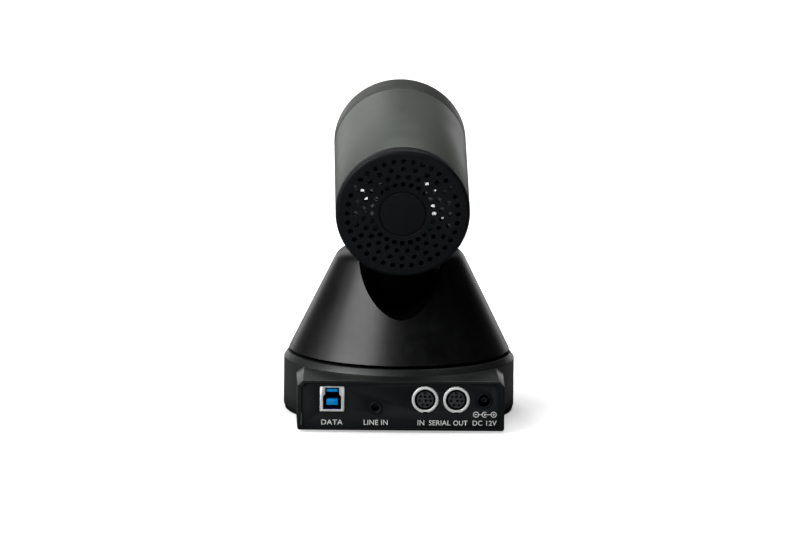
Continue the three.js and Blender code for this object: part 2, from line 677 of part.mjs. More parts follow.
function tiltSector() {
  const pitch = 360 / GEAR_TEETH;
  const lastTooth = SECTOR_HALF_ANGLE / pitch;
  const edge = SECTOR_HALF_ANGLE + 0.45 * pitch;
  const root = GEAR_RADIUS - 1.1 * MODULE;
  const fan = [[0, 0], polar(root, -edge), ...teeth(GEAR_TEETH, -lastTooth, lastTooth), polar(root, edge)];
  const plate = join(extrudeZ(fan, 0, SECTOR_THICK), rod(SECTOR_HUB_RADIUS, 0, SECTOR_THICK, 16));
  const bored = cut(plate, rod(SHAFT_RADIUS + GAP, -1, 4));
  // The fan points down from the shaft, and its flat side lies across the tilt axis.
  return bored.rotateY(Math.PI / 2).translate(SECTOR_X, 0, 0);
}

function barrelSleeve() {
  const front = -HEAD_FRONT + FRONT_RING_LENGTH;
  const rear = HEAD_REAR - REAR_CAP_LENGTH - GAP;
  const inner = HEAD_RADIUS - SLEEVE_WALL;
  const tube = revolveY([[inner, front], [HEAD_RADIUS, front], [HEAD_RADIUS, rear], [inner, rear]]);
  return cut(tube, extrudeZ(oval(STEM_HALF_X + GAP, STEM_HALF_Y + GAP), -40, 0));
}

function frontRing() {
  const back = -HEAD_FRONT + FRONT_RING_LENGTH - GAP;
  const front = -HEAD_FRONT;
  return revolveY([
    [30.8, back],
    [HEAD_RADIUS, back],
    [HEAD_RADIUS, front + 0.8],
    [HEAD_RADIUS - 0.8, front],
    [29.2, front],
    [28.8, front + 0.4],
    [28.8, front + 2.3],
    [26.5, front + 2.3],
    [26.5, front + 4.7],
    [30.8, front + 4.7],
  ]);
}

function rearCap() {
  const lip = HEAD_REAR - REAR_CAP_LENGTH;
  const dish = revolveY([
    [0, HEAD_REAR - 1.8],
    [30.6, HEAD_REAR - 1.8],
    [30.6, lip],
    [HEAD_RADIUS, lip],
    [HEAD_RADIUS, HEAD_REAR - 2.2],
    [HEAD_RADIUS - 0.65, HEAD_REAR - 0.65],
    [HEAD_RADIUS - 2.2, HEAD_REAR],
    [0, HEAD_REAR],
  ]);
  const holes = [];
  for (const { radius, count, phase } of VENT_RINGS) {
    for (let i = 0; i < count; i += 1) {
      const [x, z] = polar(radius, phase + 360 * i / count);
      holes.push(rodY(VENT_HOLE_RADIUS, HEAD_REAR - 4, HEAD_REAR + 1, 4).translate(x, 0, z));
    }
  }
  return cut(dish, ...holes);
}

function lensHousing() {
  return revolveY([[17, -44], [21, -44], [21, -20], [19.5, -18], [19.5, 8.6], [17, 8.6]], MIDDLE);
}

// A lens of given rim radius, rim thickness and bulge of each face.
function lens(radius, rim, bulge) {
  const half = rim / 2;
  const profile = [[0, -half - bulge], [radius * 0.6, -half - bulge * 0.64], [radius, -half]];
  const other = profile.map(([r, y]) => [r, -y]).reverse();
  return revolveY([...profile, ...other], 16);
}

// Lens carrier: a ring with an ear on each side that runs on a guide rod.
function lensCarrier(length) {
  const half = length / 2;
  const body = revolveY([[9.4, -half], [11.6, -half], [11.6, half], [9.4, half]], 16);
  const ear = (x) => block([x - 2.8, -half, -2.2], [x + 2.8, half, 2.2]);
  const hole = (x) => rodY(1.3, -10, 10, 8).translate(x, 0, 0);
  const earX = GUIDE_ROD_X - 0.9;
  return cut(join(body, ear(-earX), ear(earX)), hole(-GUIDE_ROD_X), hole(GUIDE_ROD_X));
}

// Chassis rail beside the lens housing, with a tab turned in behind the vent holes.
function chassisRail(side) {
  const rail = block([22.5, -34, -8], [24.3, 50.4, 15]);
  const tab = block([11, 48.9, -2.5], [24, 50.4, 14.5]);
  return join(rail, tab).scale(side, 1, 1);
}

function tiltShaftRight() {
  return revolveX([[SHAFT_BORE, -26], [SHAFT_RADIUS, -26], [SHAFT_RADIUS, -8], [SHAFT_BORE, -8]], FINE);
}

function makeHead() {
  const head = new THREE.Group();
  const axis = [0, 0, HEAD_AXIS];
  addMesh(head, 'neck', neck(), MATTE_BLACK);
  addMesh(head, 'tilt_shaft_left', rodX(SHAFT_RADIUS, 8, 28.2), STEEL);
  addMesh(head, 'tilt_shaft_right', tiltShaftRight(), STEEL);
  addMesh(head, 'tilt_sector_gear', tiltSector(), ACETAL);
  addMesh(head, 'barrel_sleeve', barrelSleeve(), SLEEVE_GREY, axis);
  addMesh(head, 'front_ring', frontRing(), RING_GREY, axis);
  addMesh(head, 'front_window', rodY(28.4, -50.9, -49.5, MIDDLE), SMOKED_GLASS, axis);
  addMesh(head, 'rear_cap', rearCap(), MATTE_BLACK, axis);
  addMesh(head, 'lens_housing', lensHousing(), MATTE_BLACK, axis);
  addMesh(head, 'front_lens', lens(16.6, 3, 2), GLASS, [0, -39.5, HEAD_AXIS]);
  for (const [name, side] of [['left', 1], ['right', -1]]) {
    addMesh(head, `guide_rod_${name}`, rodY(1, -34, 7, 8), STEEL, [GUIDE_ROD_X * side, 0, HEAD_AXIS]);
    addMesh(head, `chassis_rail_${name}`, chassisRail(side), ALUMINIUM, axis);
  }
  addMesh(head, 'image_sensor', block([-6, 7.2, -6], [6, 8.6, 6]), SMOKED_GLASS, axis);
  addMesh(head, 'sensor_board', block([-17, 8.9, -17], [17, 10.5, 17]), BOARD_GREEN, axis);
  addMesh(head, 'video_board', block([-21, 30, -19], [21, 31.6, 19]), BOARD_GREEN, axis);
  addMesh(head, 'zoom_carrier', lensCarrier(5), MATTE_BLACK, [0, ZOOM_REST_Y, HEAD_AXIS]);
  addMesh(head, 'zoom_lens', lens(9.1, 2, 0.8), GLASS, [0, ZOOM_REST_Y, HEAD_AXIS]);
  addMesh(head, 'focus_carrier', lensCarrier(3), MATTE_BLACK, [0, FOCUS_REST_Y, HEAD_AXIS]);
  addMesh(head, 'focus_lens', lens(9.1, 1.4, 0.5), GLASS, [0, FOCUS_REST_Y, HEAD_AXIS]);
  return head;
}

// The tilt pinion stands under the sector. At rest the sector has turned by REST_TILT,
// and the pinion five times as far the other way.
function tiltPinion() {
  const ratio = GEAR_TEETH / PINION_TEETH;
  const halfTooth = 180 / PINION_TEETH;
  const turned = pinion().rotateZ(radians(halfTooth + REST_TILT * ratio));
  return turned.rotateY(Math.PI / 2);
}

// ---- assembly --------------------------------------------------------------------------------
const base = makeBase();
base.position.set(0, PAN_AXIS_Y, FOOT_HEIGHT);

const turret = makeTurret();
turret.position.set(0, PAN_AXIS_Y, FOOT_HEIGHT);
addMesh(turret, 'tilt_pinion', tiltPinion(), BRASS, [SECTOR_X - 0.25, 0, TILT_PINION_Z]);

const head = makeHead();
head.position.set(0, 0, PIVOT_Z);
head.rotation.x = radians(-REST_TILT);
turret.add(head);

const camera = new THREE.Group();
camera.add(base, turret);

export default camera;
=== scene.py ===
# Looks for the pan-tilt-zoom camera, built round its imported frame.
# Pieces are drawn in millimetres in a local frame (BASE, HEAD or NECK), then set in the shared one in metres.
# In each local frame +Z is up and +Y is the side of the connectors, so the lens looks along -Y.
import json
import math

import bmesh
import bpy
from mathutils import Matrix, Vector


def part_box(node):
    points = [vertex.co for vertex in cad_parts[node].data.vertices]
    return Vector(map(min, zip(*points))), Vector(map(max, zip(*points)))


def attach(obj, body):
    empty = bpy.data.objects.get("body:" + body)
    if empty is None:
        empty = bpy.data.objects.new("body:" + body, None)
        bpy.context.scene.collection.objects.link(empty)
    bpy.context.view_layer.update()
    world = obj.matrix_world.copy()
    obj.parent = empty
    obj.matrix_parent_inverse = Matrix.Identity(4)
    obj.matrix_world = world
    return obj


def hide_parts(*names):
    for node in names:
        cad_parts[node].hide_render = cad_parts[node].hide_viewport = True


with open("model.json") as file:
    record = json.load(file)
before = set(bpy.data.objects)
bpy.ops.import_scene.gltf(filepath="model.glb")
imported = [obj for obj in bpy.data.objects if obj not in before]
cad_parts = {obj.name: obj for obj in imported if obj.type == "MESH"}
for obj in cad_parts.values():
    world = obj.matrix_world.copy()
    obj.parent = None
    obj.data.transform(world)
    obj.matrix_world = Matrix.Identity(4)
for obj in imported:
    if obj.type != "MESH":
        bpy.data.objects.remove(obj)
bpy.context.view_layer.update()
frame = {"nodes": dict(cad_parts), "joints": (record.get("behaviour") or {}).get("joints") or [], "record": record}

MM = 0.001
JOINTS = {joint["name"]: joint for joint in frame["joints"]}

# ---- places taken from the frame -----------------
FOOT_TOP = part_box("foot_1")[1].z
PAN_AXIS = Vector(JOINTS["pan"]["pos_m"])
PIVOT = Vector(JOINTS["tilt"]["pos_m"])
LENS_WAY = Vector(JOINTS["zoom_travel"]["axis"])
REST_TILT = math.atan2(LENS_WAY.z, -LENS_WAY.y)
PIVOT_HEIGHT = (PIVOT.z - FOOT_TOP) / MM
HEAD_AXIS = 47.5                 # barrel axis above the tilt axis

TILTED = Matrix.Translation(PIVOT) @ Matrix.Rotation(-REST_TILT, 4, "X")
BASE = Matrix.Translation((0, PAN_AXIS.y, FOOT_TOP)) @ Matrix.Scale(MM, 4)
NECK = TILTED @ Matrix.Scale(MM, 4)
HEAD = TILTED @ Matrix.Translation((0, 0, HEAD_AXIS * MM)) @ Matrix.Scale(MM, 4)

# ---- sizes in millimetres, as in the frame -------
BASE_RADIUS = 57.35
BASE_WALL = 2.4
BASE_CREASE = 1.5                # height at which the wall starts to draw in to its foot
BASE_SHOULDER = 24.8             # top of the straight wall, under the chamfer
BASE_TOP = 27.6
DECK_BOTTOM = 24.8
DECK_TOP = 27.2
DECK_RADIUS = 51.1
HUB_HOLE = 14.0                  # radius of the hole in the deck that the pan hub turns in
SKIRT_DROP = 1.0

BOX_HALF = 50.85                 # half the width of the connector box
BOX_START = 20.0
BOX_REAR = 70.0
BOX_TOP = 24.7
BOX_FLARE = 0.55                 # how much wider the box is where it leaves the ring
BOX_CHAMFER = 2.6
BOX_START_CHAMFER = 4.0
BOX_FOOT_CHAMFER = 0.8
BOX_SIDE_RIM = 1.9
BOX_TOP_RIM = 1.25
BOX_BOTTOM_RIM = 1.1
PANEL_FACE = 69.2
PANEL_THICK = 1.6
PRINT_LIFT = 0.03                # height of the printed marks over the panel

PLATE_LOW = 0.3
PLATE_HIGH = 2.3
PLATE_RADIUS = 54.65
INSERT_HOLE = 5.3                # radius of the hole for the tripod insert
SCREW_HOLE = 1.6
SCREW_PLACES = ((0, -46), (-40, 8), (40, 8))
FOOT_PLACES = ((34, -32), (-34, -32), (42, 50), (-42, 50))
FOOT_RADIUS = 5.0
FOOT_HEIGHT = 1.2

IR_HALF = 14.0                   # the opening of the infrared window in the front wall
IR_LOW = 6.0
IR_HIGH = 18.0
IR_GAP = 0.4
LAMP = (19, 12)                  # across and height

# Centres on the panel, across and height.
DATA_PORT = (33.8, 15.4)
LINE_JACK = (12.4, 11.1)
SERIAL_IN = (-11.9, 15.3)
SERIAL_OUT = (-27.3, 15.3)
POWER_JACK = (-40.9, 15.1)
PORT_FACE = 69.7
PORT_BACK = 54.0

SKIRT = 28.9                     # lower edge of the turret
CONE_FOOT = (54.6, 29.3)         # radius and height
CONE_SLOPE = 0.4867              # loss of radius per millimetre of height
CONE_SHOULDER = 75.1             # where the straight side ends
SHOULDER_RADIUS = 8.0
TURRET_WALL = 2.4                # measured level
CHANNEL_HALF = 20.75
CHANNEL_DEPTH = 27.0
CHANNEL_TOP = 77.3
CHANNEL_POWER = 1.8              # of the superellipse that the channel's floor follows
TILT_BORE = 6.0

HEAD_RADIUS = 33.0
HEAD_REAR = 55.0
HEAD_FRONT = 51.5
SLEEVE_FRONT = -36.5
SLEEVE_REAR = 49.3
SLEEVE_WALL = 2.0
RING_BACK = -36.8
CAP_LIP = 49.6
CAP_THICK = 1.8
STEM_HALF = (14.5, 16.5)         # half axes of the oval stem between neck and barrel
STEM_GAP = 0.3

# Rings of vent holes: radius, number of holes, degrees of the first one.
VENT_RINGS = ((27.2, 36, 0.0), (23.2, 24, 0.0), (19.25, 24, 7.5), (15.3, 24, 0.0))
VENT_RADIUS = 1.28

FINE = 192                       # sides of a turned piece as wide as the base
FINEST = 256                     # sides of a turned piece that the eye meets at its rim


# ---- mesh helpers --------------------------------
def add_object(name, data):
    obj = bpy.data.objects.new(name, data)
    bpy.context.scene.collection.objects.link(obj)
    return obj


def add_mesh(name, verts, faces):
    mesh = bpy.data.meshes.new(name)
    mesh.from_pydata([tuple(v) for v in verts], [], faces)
    mesh.validate()
    return add_object(name, mesh)


def new_piece(name, verts, faces, material, body, cad_nodes=(), place=BASE, crease=32):
    """Makes a mesh piece from millimetre points and finishes it."""
    return finish_piece(add_mesh(name, verts, faces), material, body, cad_nodes, place, crease)


def finish_piece(obj, material, body, cad_nodes=(), place=BASE, crease=32):
    """Sets a piece in the shared frame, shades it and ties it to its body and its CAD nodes."""
    obj.data.transform(place)
    turn_outwards(obj.data)
    sharpen(obj.data, crease)
    obj.data.materials.clear()
    obj.data.materials.append(material)
    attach(obj, body)
    if cad_nodes:
        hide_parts(*cad_nodes)
    return obj


def turn_outwards(mesh):
    """Merges doubled points and turns every face out."""
    bm = bmesh.new()
    bm.from_mesh(mesh)
    bmesh.ops.remove_doubles(bm, verts=bm.verts, dist=1e-7)
    bmesh.ops.recalc_face_normals(bm, faces=bm.faces)
    bm.to_mesh(mesh)
    bm.free()


def sharpen(mesh, degrees):
    """Smooth shading everywhere, broken at edges that turn by more than the given angle."""
    limit = math.radians(degrees)
    bm = bmesh.new()
    bm.from_mesh(mesh)
    for face in bm.faces:
        face.smooth = True
    for edge in bm.edges:
        edge.smooth = not (len(edge.link_faces) == 2 and edge.calc_face_angle(0) > limit)
    bm.to_mesh(mesh)
    bm.free()


def loose(name, verts, faces):
    """A working mesh in millimetres, for cutting or joining."""
    obj = add_mesh(name, verts, faces)
    turn_outwards(obj.data)
    return obj


def apply_modifiers(obj):
    graph = bpy.context.evaluated_depsgraph_get()
    mesh = bpy.data.meshes.new_from_object(obj.evaluated_get(graph))
    obj.modifiers.clear()
    old = obj.data
    obj.data = mesh
    bpy.data.meshes.remove(old)


def combine(obj, other, operation):
    """Cuts, joins or intersects obj with other, and removes other."""
    modifier = obj.modifiers.new("combine", "BOOLEAN")
    modifier.operation = operation
    modifier.solver = "EXACT"
    modifier.object = other
    apply_modifiers(obj)
    bpy.data.objects.remove(other)


def cut(obj, *tools):
    for tool in tools:
        combine(obj, tool, "DIFFERENCE")


def join(obj, *others):
    for other in others:
        combine(obj, other, "UNION")


def bevel(obj, width, segments=2, degrees=35):
    modifier = obj.modifiers.new("bevel", "BEVEL")
    modifier.width = width
    modifier.segments = segments
    modifier.limit_method = "ANGLE"
    modifier.angle_limit = math.radians(degrees)
    modifier.use_clamp_overlap = True
    apply_modifiers(obj)


def rounded(points, steps=5):
    """An outline of (a, b, radius) points, with an arc at each point whose radius is over 0."""
    result = []
    count = len(points)
    for i, (a, b, radius) in enumerate(points):
        here = Vector((a, b))
        if radius <= 0:
            result.append((a, b))
            continue
        before = Vector(points[(i - 1) % count][:2]) - here
        after = Vector(points[(i + 1) % count][:2]) - here
        half = before.angle(after) / 2
        reach = min(radius / math.tan(half), before.length * 0.49, after.length * 0.49)
        size = reach * math.tan(half)
        centre = here + (before.normalized() + after.normalized()).normalized() * (size / math.sin(half))
        start = here + before.normalized() * reach - centre
        end = here + after.normalized() * reach - centre
        sweep = start.angle(end)
        for k in range(steps + 1):
            t = k / steps
            part = (start * math.sin((1 - t) * sweep) + end * math.sin(t * sweep)) / math.sin(sweep)
            result.append(tuple(centre + part))
    return result


def lathe_data(profile, sides, axis="Z"):
    """Vertices and faces of a profile of (radius, height) pairs turned round an axis.

    A profile that leaves the axis closes on itself; one that starts and ends on it is closed by the axis.
    """
    verts = []
    faces = []
    rows = []
    for radius, height in profile:
        if radius < 1e-6:
            rows.append([len(verts)])
            verts.append((0, 0, height))
            continue
        row = []
        for k in range(sides):
            angle = 2 * math.pi * k / sides
            row.append(len(verts))
            verts.append((radius * math.cos(angle), radius * math.sin(angle), height))
        rows.append(row)
    closed = len(rows[0]) > 1 or len(rows[-1]) > 1
    pairs = list(zip(rows, rows[1:] + rows[:1])) if closed else list(zip(rows, rows[1:]))
    for low, high in pairs:
        for k in range(sides):
            n = (k + 1) % sides
            if len(low) == 1 and len(high) == 1:
                continue
            if len(low) == 1:
                faces.append((low[0], high[n], high[k]))
            elif len(high) == 1:
                faces.append((low[k], low[n], high[0]))
            else:
                faces.append((low[k], low[n], high[n], high[k]))
    if axis == "Y":
        verts = [(x, z, -y) for x, y, z in verts]
    if axis == "X":
        verts = [(z, x, y) for x, y, z in verts]
    return verts, faces


def lathe(name, profile, sides=96, axis="Z"):
    return loose(name, *lathe_data(profile, sides, axis))


def prism_data(outline, low, high, axis="Y"):
    """Vertices and faces of an outline extruded along an axis."""
    count = len(outline)
    if axis == "Y":
        ends = [[(a, level, b) for a, b in outline] for level in (low, high)]
    elif axis == "X":
        ends = [[(level, a, b) for a, b in outline] for level in (low, high)]
    else:
        ends = [[(a, b, level) for a, b in outline] for level in (low, high)]
    verts = ends[0] + ends[1]
    faces = [tuple(range(count)), tuple(reversed(range(count, 2 * count)))]
    for k in range(count):
        n = (k + 1) % count
        faces.append((k, k + count, n + count, n))
    return verts, faces


def prism(name, outline, low, high, axis="Y"):
    return loose(name, *prism_data(outline, low, high, axis))


def loft(name, first, second, low, high):
    """A straight loft along Y between two outlines with the same number of points."""
    verts, faces = prism_data(first, low, high)
    count = len(first)
    for k, (x, z) in enumerate(second):
        verts[count + k] = (x, high, z)
    return loose(name, verts, faces)


def disc_outline(radius, sides, centre=(0, 0)):
    return oval_outline(radius, radius, sides, centre)


def oval_outline(half_width, half_height, sides, centre=(0, 0)):
    angles = [2 * math.pi * k / sides for k in range(sides)]
    return [(centre[0] + half_width * math.cos(a), centre[1] + half_height * math.sin(a)) for a in angles]


def box_outline(left, right, low, high, radius=0.0, steps=4):
    corners = ((left, low), (right, low), (right, high), (left, high))
    return rounded([(a, b, radius) for a, b in corners], steps)


def many_rods(name, places, radius, low, high, sides):
    """One working mesh of parallel rods along Y at (x, z) places."""
    verts = []
    faces = []
    for place in places:
        more, extra = prism_data(disc_outline(radius, sides, place), low, high)
        faces += [tuple(i + len(verts) for i in face) for face in extra]
        verts += more
    return loose(name, verts, faces)


# ---- materials -----------------------------------
# Stretches of the noise or of the edge measure that a change of colour or roughness runs over.
CLOUD_COLOUR = (0.35, 0.65)
CLOUD_GLOSS = (0.3, 0.7)
SPECK_COLOUR = (0.5, 0.8)
WORN_EDGE = (0.53, 0.62)
WORN_PATCH = (0.4, 0.62)
PATCH_SCALE = 220.0
POLISHED = 0.0000001             # depth of the grain on glass, in metres


def noise(tree, coordinates, scale, detail=3.0, roughness=0.6):
    made = tree.nodes.new("ShaderNodeTexNoise")
    made.inputs["Scale"].default_value = scale
    made.inputs["Detail"].default_value = detail
    made.inputs["Roughness"].default_value = roughness
    tree.links.new(coordinates, made.inputs["Vector"])
    return made.outputs["Fac"]


def ramp(tree, value, low, high, out_low, out_high):
    """Maps a value from one range to another."""
    made = tree.nodes.new("ShaderNodeMapRange")
    made.inputs["From Min"].default_value = low
    made.inputs["From Max"].default_value = high
    made.inputs["To Min"].default_value = out_low
    made.inputs["To Max"].default_value = out_high
    tree.links.new(value, made.inputs["Value"])
    return made.outputs["Result"]


def blend_colour(tree, factor, first, second):
    made = tree.nodes.new("ShaderNodeMix")
    made.data_type = "RGBA"
    tree.links.new(factor, made.inputs[0])
    for socket, value in ((made.inputs[6], first), (made.inputs[7], second)):
        if isinstance(value, tuple):
            socket.default_value = (*value, 1)
        else:
            tree.links.new(value, socket)
    return made.outputs[2]


def surface(
    name,
    colour,
    variation=0.12,
    roughness=0.5,
    roughness_spread=0.08,
    metallic=0.0,
    specular=0.5,
    grain=1800.0,
    grain_depth=0.00002,
    wear=0.0,
    wear_colour=(0.3, 0.3, 0.3),
    coat=0.0,
    smudge=40.0,
):
    """A moulded, painted or metal surface: cloudy colour, fine grain in the bump, and paler worn edges."""
    material = bpy.data.materials.new(name)
    material.use_nodes = True
    tree = material.node_tree
    shader = tree.nodes["Principled BSDF"]
    shader.inputs["Metallic"].default_value = metallic
    shader.inputs["Specular IOR Level"].default_value = specular
    shader.inputs["Coat Weight"].default_value = coat
    coordinates = tree.nodes.new("ShaderNodeTexCoord").outputs["Object"]

    cloud = noise(tree, coordinates, smudge, 4.0)
    speck = noise(tree, coordinates, grain, 2.0)
    darker = tuple(c * (1 - variation) for c in colour)
    lighter = tuple(min(1.0, c * (1 + variation)) for c in colour)
    base = blend_colour(tree, ramp(tree, cloud, *CLOUD_COLOUR, 0, 1), darker, lighter)
    base = blend_colour(tree, ramp(tree, speck, *SPECK_COLOUR, 0, 0.5), base, lighter)
    if wear > 0:
        geometry = tree.nodes.new("ShaderNodeNewGeometry")
        edge = ramp(tree, geometry.outputs["Pointiness"], *WORN_EDGE, 0, wear)
        patch = ramp(tree, noise(tree, coordinates, PATCH_SCALE, 4.0), *WORN_PATCH, 0.15, 1)
        patchy = tree.nodes.new("ShaderNodeMath")
        patchy.operation = "MULTIPLY"
        tree.links.new(edge, patchy.inputs[0])
        tree.links.new(patch, patchy.inputs[1])
        base = blend_colour(tree, patchy.outputs[0], base, wear_colour)
    tree.links.new(base, shader.inputs["Base Color"])

    uneven = ramp(tree, cloud, *CLOUD_GLOSS, roughness - roughness_spread, roughness + roughness_spread)
    tree.links.new(uneven, shader.inputs["Roughness"])

    bump = tree.nodes.new("ShaderNodeBump")
    bump.inputs["Strength"].default_value = 1.0
    bump.inputs["Distance"].default_value = grain_depth
    tree.links.new(speck, bump.inputs["Height"])
    tree.links.new(bump.outputs["Normal"], shader.inputs["Normal"])
    return material


def glass(name, colour, clearness, roughness=0.2, specular=0.5):
    """Tinted glass or clear plastic, thin enough to let light straight through."""
    material = surface(name, colour, variation=0.04, roughness=roughness, roughness_spread=0.02,
                       specular=specular, grain=300.0, grain_depth=POLISHED)
    material.node_tree.nodes["Principled BSDF"].inputs["Alpha"].default_value = 1 - clearness
    return material


def glow(material, strength):
    shader = material.node_tree.nodes["Principled BSDF"]
    shader.inputs["Emission Color"].default_value = (1, 1, 1, 1)
    shader.inputs["Emission Strength"].default_value = strength


def glow_outwards(material, near, far, weak, strong):
    """A glow that grows with the distance from the object, so that the floor is white to its far edge. The weaker
    glow near the object darkens the floor round its foot: painted shade beside the lamps' own shadows.
    """
    glow(material, weak)
    tree = material.node_tree
    distance = tree.nodes.new("ShaderNodeVectorMath")
    distance.operation = "LENGTH"
    tree.links.new(tree.nodes.new("ShaderNodeTexCoord").outputs["Object"], distance.inputs[0])
    strength = ramp(tree, distance.outputs["Value"], near, far, weak, strong)
    tree.links.new(strength, tree.nodes["Principled BSDF"].inputs["Emission Strength"])


SATIN_BLACK = surface("satin_black", (0.0034, 0.0036, 0.0037), roughness=0.34, roughness_spread=0.04,
                      specular=0.46, grain=2600.0, grain_depth=0.00001, wear=0.25,
                      wear_colour=(0.05, 0.05, 0.05))
BASE_BLACK = surface("base_black", (0.0125, 0.014, 0.0134), roughness=0.4, roughness_spread=0.05,
                     specular=0.58, grain=2600.0, grain_depth=0.00001, wear=0.25,
                     wear_colour=(0.06, 0.06, 0.06))
CAP_BLACK = surface("cap_black", (0.0064, 0.0082, 0.0100), roughness=0.5, specular=0.18, grain=2800.0,
                    grain_depth=0.000012, wear=0.12, wear_colour=(0.04, 0.04, 0.04))
SLEEVE_PAINT = surface("sleeve_paint", (0.098, 0.110, 0.098), variation=0.05, roughness=0.44,
                       roughness_spread=0.04, metallic=0.35, specular=0.5, grain=3600.0, grain_depth=0.000008,
                       wear=0.3, wear_colour=(0.35, 0.36, 0.35))
RING_PAINT = surface("ring_paint", (0.040, 0.0435, 0.038), variation=0.06, roughness=0.46, specular=0.45,
                     grain=3000.0, grain_depth=0.00001, wear=0.2, wear_colour=(0.2, 0.2, 0.19))
PANEL_BLACK = surface("panel_black", (0.0086, 0.0106, 0.0120), roughness=0.5, specular=0.14, grain=2200.0,
                      grain_depth=0.000014, wear=0.15, wear_colour=(0.05, 0.05, 0.05))
# Near-black for matte black parts, and also painted shade: on the turret's channel, the neck and the recesses of
# the sockets.
BLACK_AND_PAINTED_SHADE = surface("black_and_painted_shade", (0.002, 0.002, 0.0021), roughness=0.9, specular=0.0, grain=2000.0)
# Nickel plate drawn as a near-white, mostly non-metal colour: the white is a painted reflection of the white
# floor.
NICKEL_PAINTED_SHINE = surface("nickel_painted_reflection", (0.96, 0.96, 0.96), variation=0.03, roughness=0.33, metallic=0.25,
                 grain=1500.0, grain_depth=0.000003, smudge=160.0)
STEEL = surface("plain_steel", (0.42, 0.43, 0.44), variation=0.1, roughness=0.34, metallic=1.0, grain=1200.0)
DARK_STEEL = surface("blackened_steel", (0.022, 0.023, 0.024), variation=0.1, roughness=0.4, metallic=0.6,
                     grain=1200.0)
# Near-black for the tilt drive: painted shade, for the channel's shadow where it shows.
SHADED_SHAFT_BLACK = surface("shaft_black_painted_shade", (0.005, 0.0052, 0.0054), variation=0.1, roughness=0.55,
                      specular=0.15, grain=1200.0)
ALUMINIUM = surface("bright_aluminium", (0.7, 0.71, 0.72), variation=0.06, roughness=0.3, metallic=1.0,
                    grain=1200.0)
BRASS = surface("turned_brass", (0.55, 0.38, 0.14), variation=0.1, roughness=0.3, metallic=1.0, grain=900.0)
ACETAL = surface("natural_acetal", (0.78, 0.76, 0.69), variation=0.04, roughness=0.42, grain=900.0)
# A blue brighter than the plastic's own, to make up for the shade inside the data port: painted light.
BLUE_PLASTIC = surface("blue_plastic", (0.003, 0.36, 0.92), variation=0.08, roughness=0.45, specular=0.12,
                       grain=1500.0)
BLUE_DARK = surface("dark_blue_plastic", (0.002, 0.012, 0.09), variation=0.08, roughness=0.4, grain=1500.0)
INSERT_GREY = surface("contact_insert", (0.028, 0.036, 0.040), variation=0.12, roughness=0.5, specular=0.4)
BOARD_GREEN = surface("solder_mask", (0.012, 0.09, 0.035), variation=0.2, roughness=0.3, grain=700.0,
                      coat=0.4)
RUBBER = surface("foot_rubber", (0.012, 0.012, 0.012), variation=0.2, roughness=0.85, specular=0.2,
                 grain=1400.0, grain_depth=0.00004)
LABEL_WHITE = surface("label_ink", (0.93, 0.94, 0.93), variation=0.05, roughness=0.55, grain=4000.0)
CABLE = surface("cable_jacket", (0.03, 0.03, 0.032), variation=0.15, roughness=0.6)
CLEAR_GLASS = glass("coated_glass", (0.012, 0.03, 0.08), clearness=0.35)
LENS_GLASS = surface("lens_coating", (0.004, 0.009, 0.026), variation=0.3, roughness=0.07,
                     roughness_spread=0.02, specular=0.9, grain=300.0, grain_depth=POLISHED, smudge=60.0)
DARK_GLASS = glass("front_glass", (0.004, 0.004, 0.006), clearness=0.82, roughness=0.5, specular=0.0)
IR_PLASTIC = glass("ir_pass_plastic", (0.022, 0.003, 0.004), clearness=0.1, roughness=0.16)
LAMP_LENS = glass("lamp_lens", (0.2, 0.6, 0.25), clearness=0.3)
CHIP = surface("chip_epoxy", (0.02, 0.02, 0.022), roughness=0.55, grain=2500.0)
FLOOR_WHITE = surface("floor_white", (0.74, 0.74, 0.74), variation=0.01, roughness=0.75,
                      roughness_spread=0.02, specular=0.2, grain=20.0, grain_depth=0.0)
glow_outwards(FLOOR_WHITE, near=0.058, far=0.105, weak=0.40, strong=0.94)
BOUNCE = surface("bounce_card", (0.02, 0.02, 0.02), variation=0.0, roughness=0.9, specular=0.0,
                 grain_depth=0.0)
glow(BOUNCE, 0.135)


# ---- base ----------------------------------------
PANEL_CHAMFER = 2.0
PORT_HALF = (6.02, 6.15)         # half the width and half the height of the data port's shell
PORT_GAP = 0.3
PANEL_HOLES = ((LINE_JACK, 3.4), (SERIAL_IN, 6.85), (SERIAL_OUT, 6.85), (POWER_JACK, 4.0))


def connector_box_outline(half, low, high, chamfer):
    small = BOX_FOOT_CHAMFER
    return [
        (-half + small, low), (half - small, low), (half, low + small), (half, high - chamfer),
        (half - chamfer, high), (-half + chamfer, high), (-half, high - chamfer), (-half, low + small),
    ]


def make_connector_box():
    """The box that holds the connectors, a little wider where it leaves the ring."""
    start = connector_box_outline(BOX_HALF + BOX_FLARE, 0.0, BOX_TOP, BOX_START_CHAMFER)
    rear = connector_box_outline(BOX_HALF, 0.0, BOX_TOP, BOX_CHAMFER)
    box = loft("box", start, rear, BOX_START, BOX_REAR)
    bevel(box, 0.3, 3, 30)
    return box


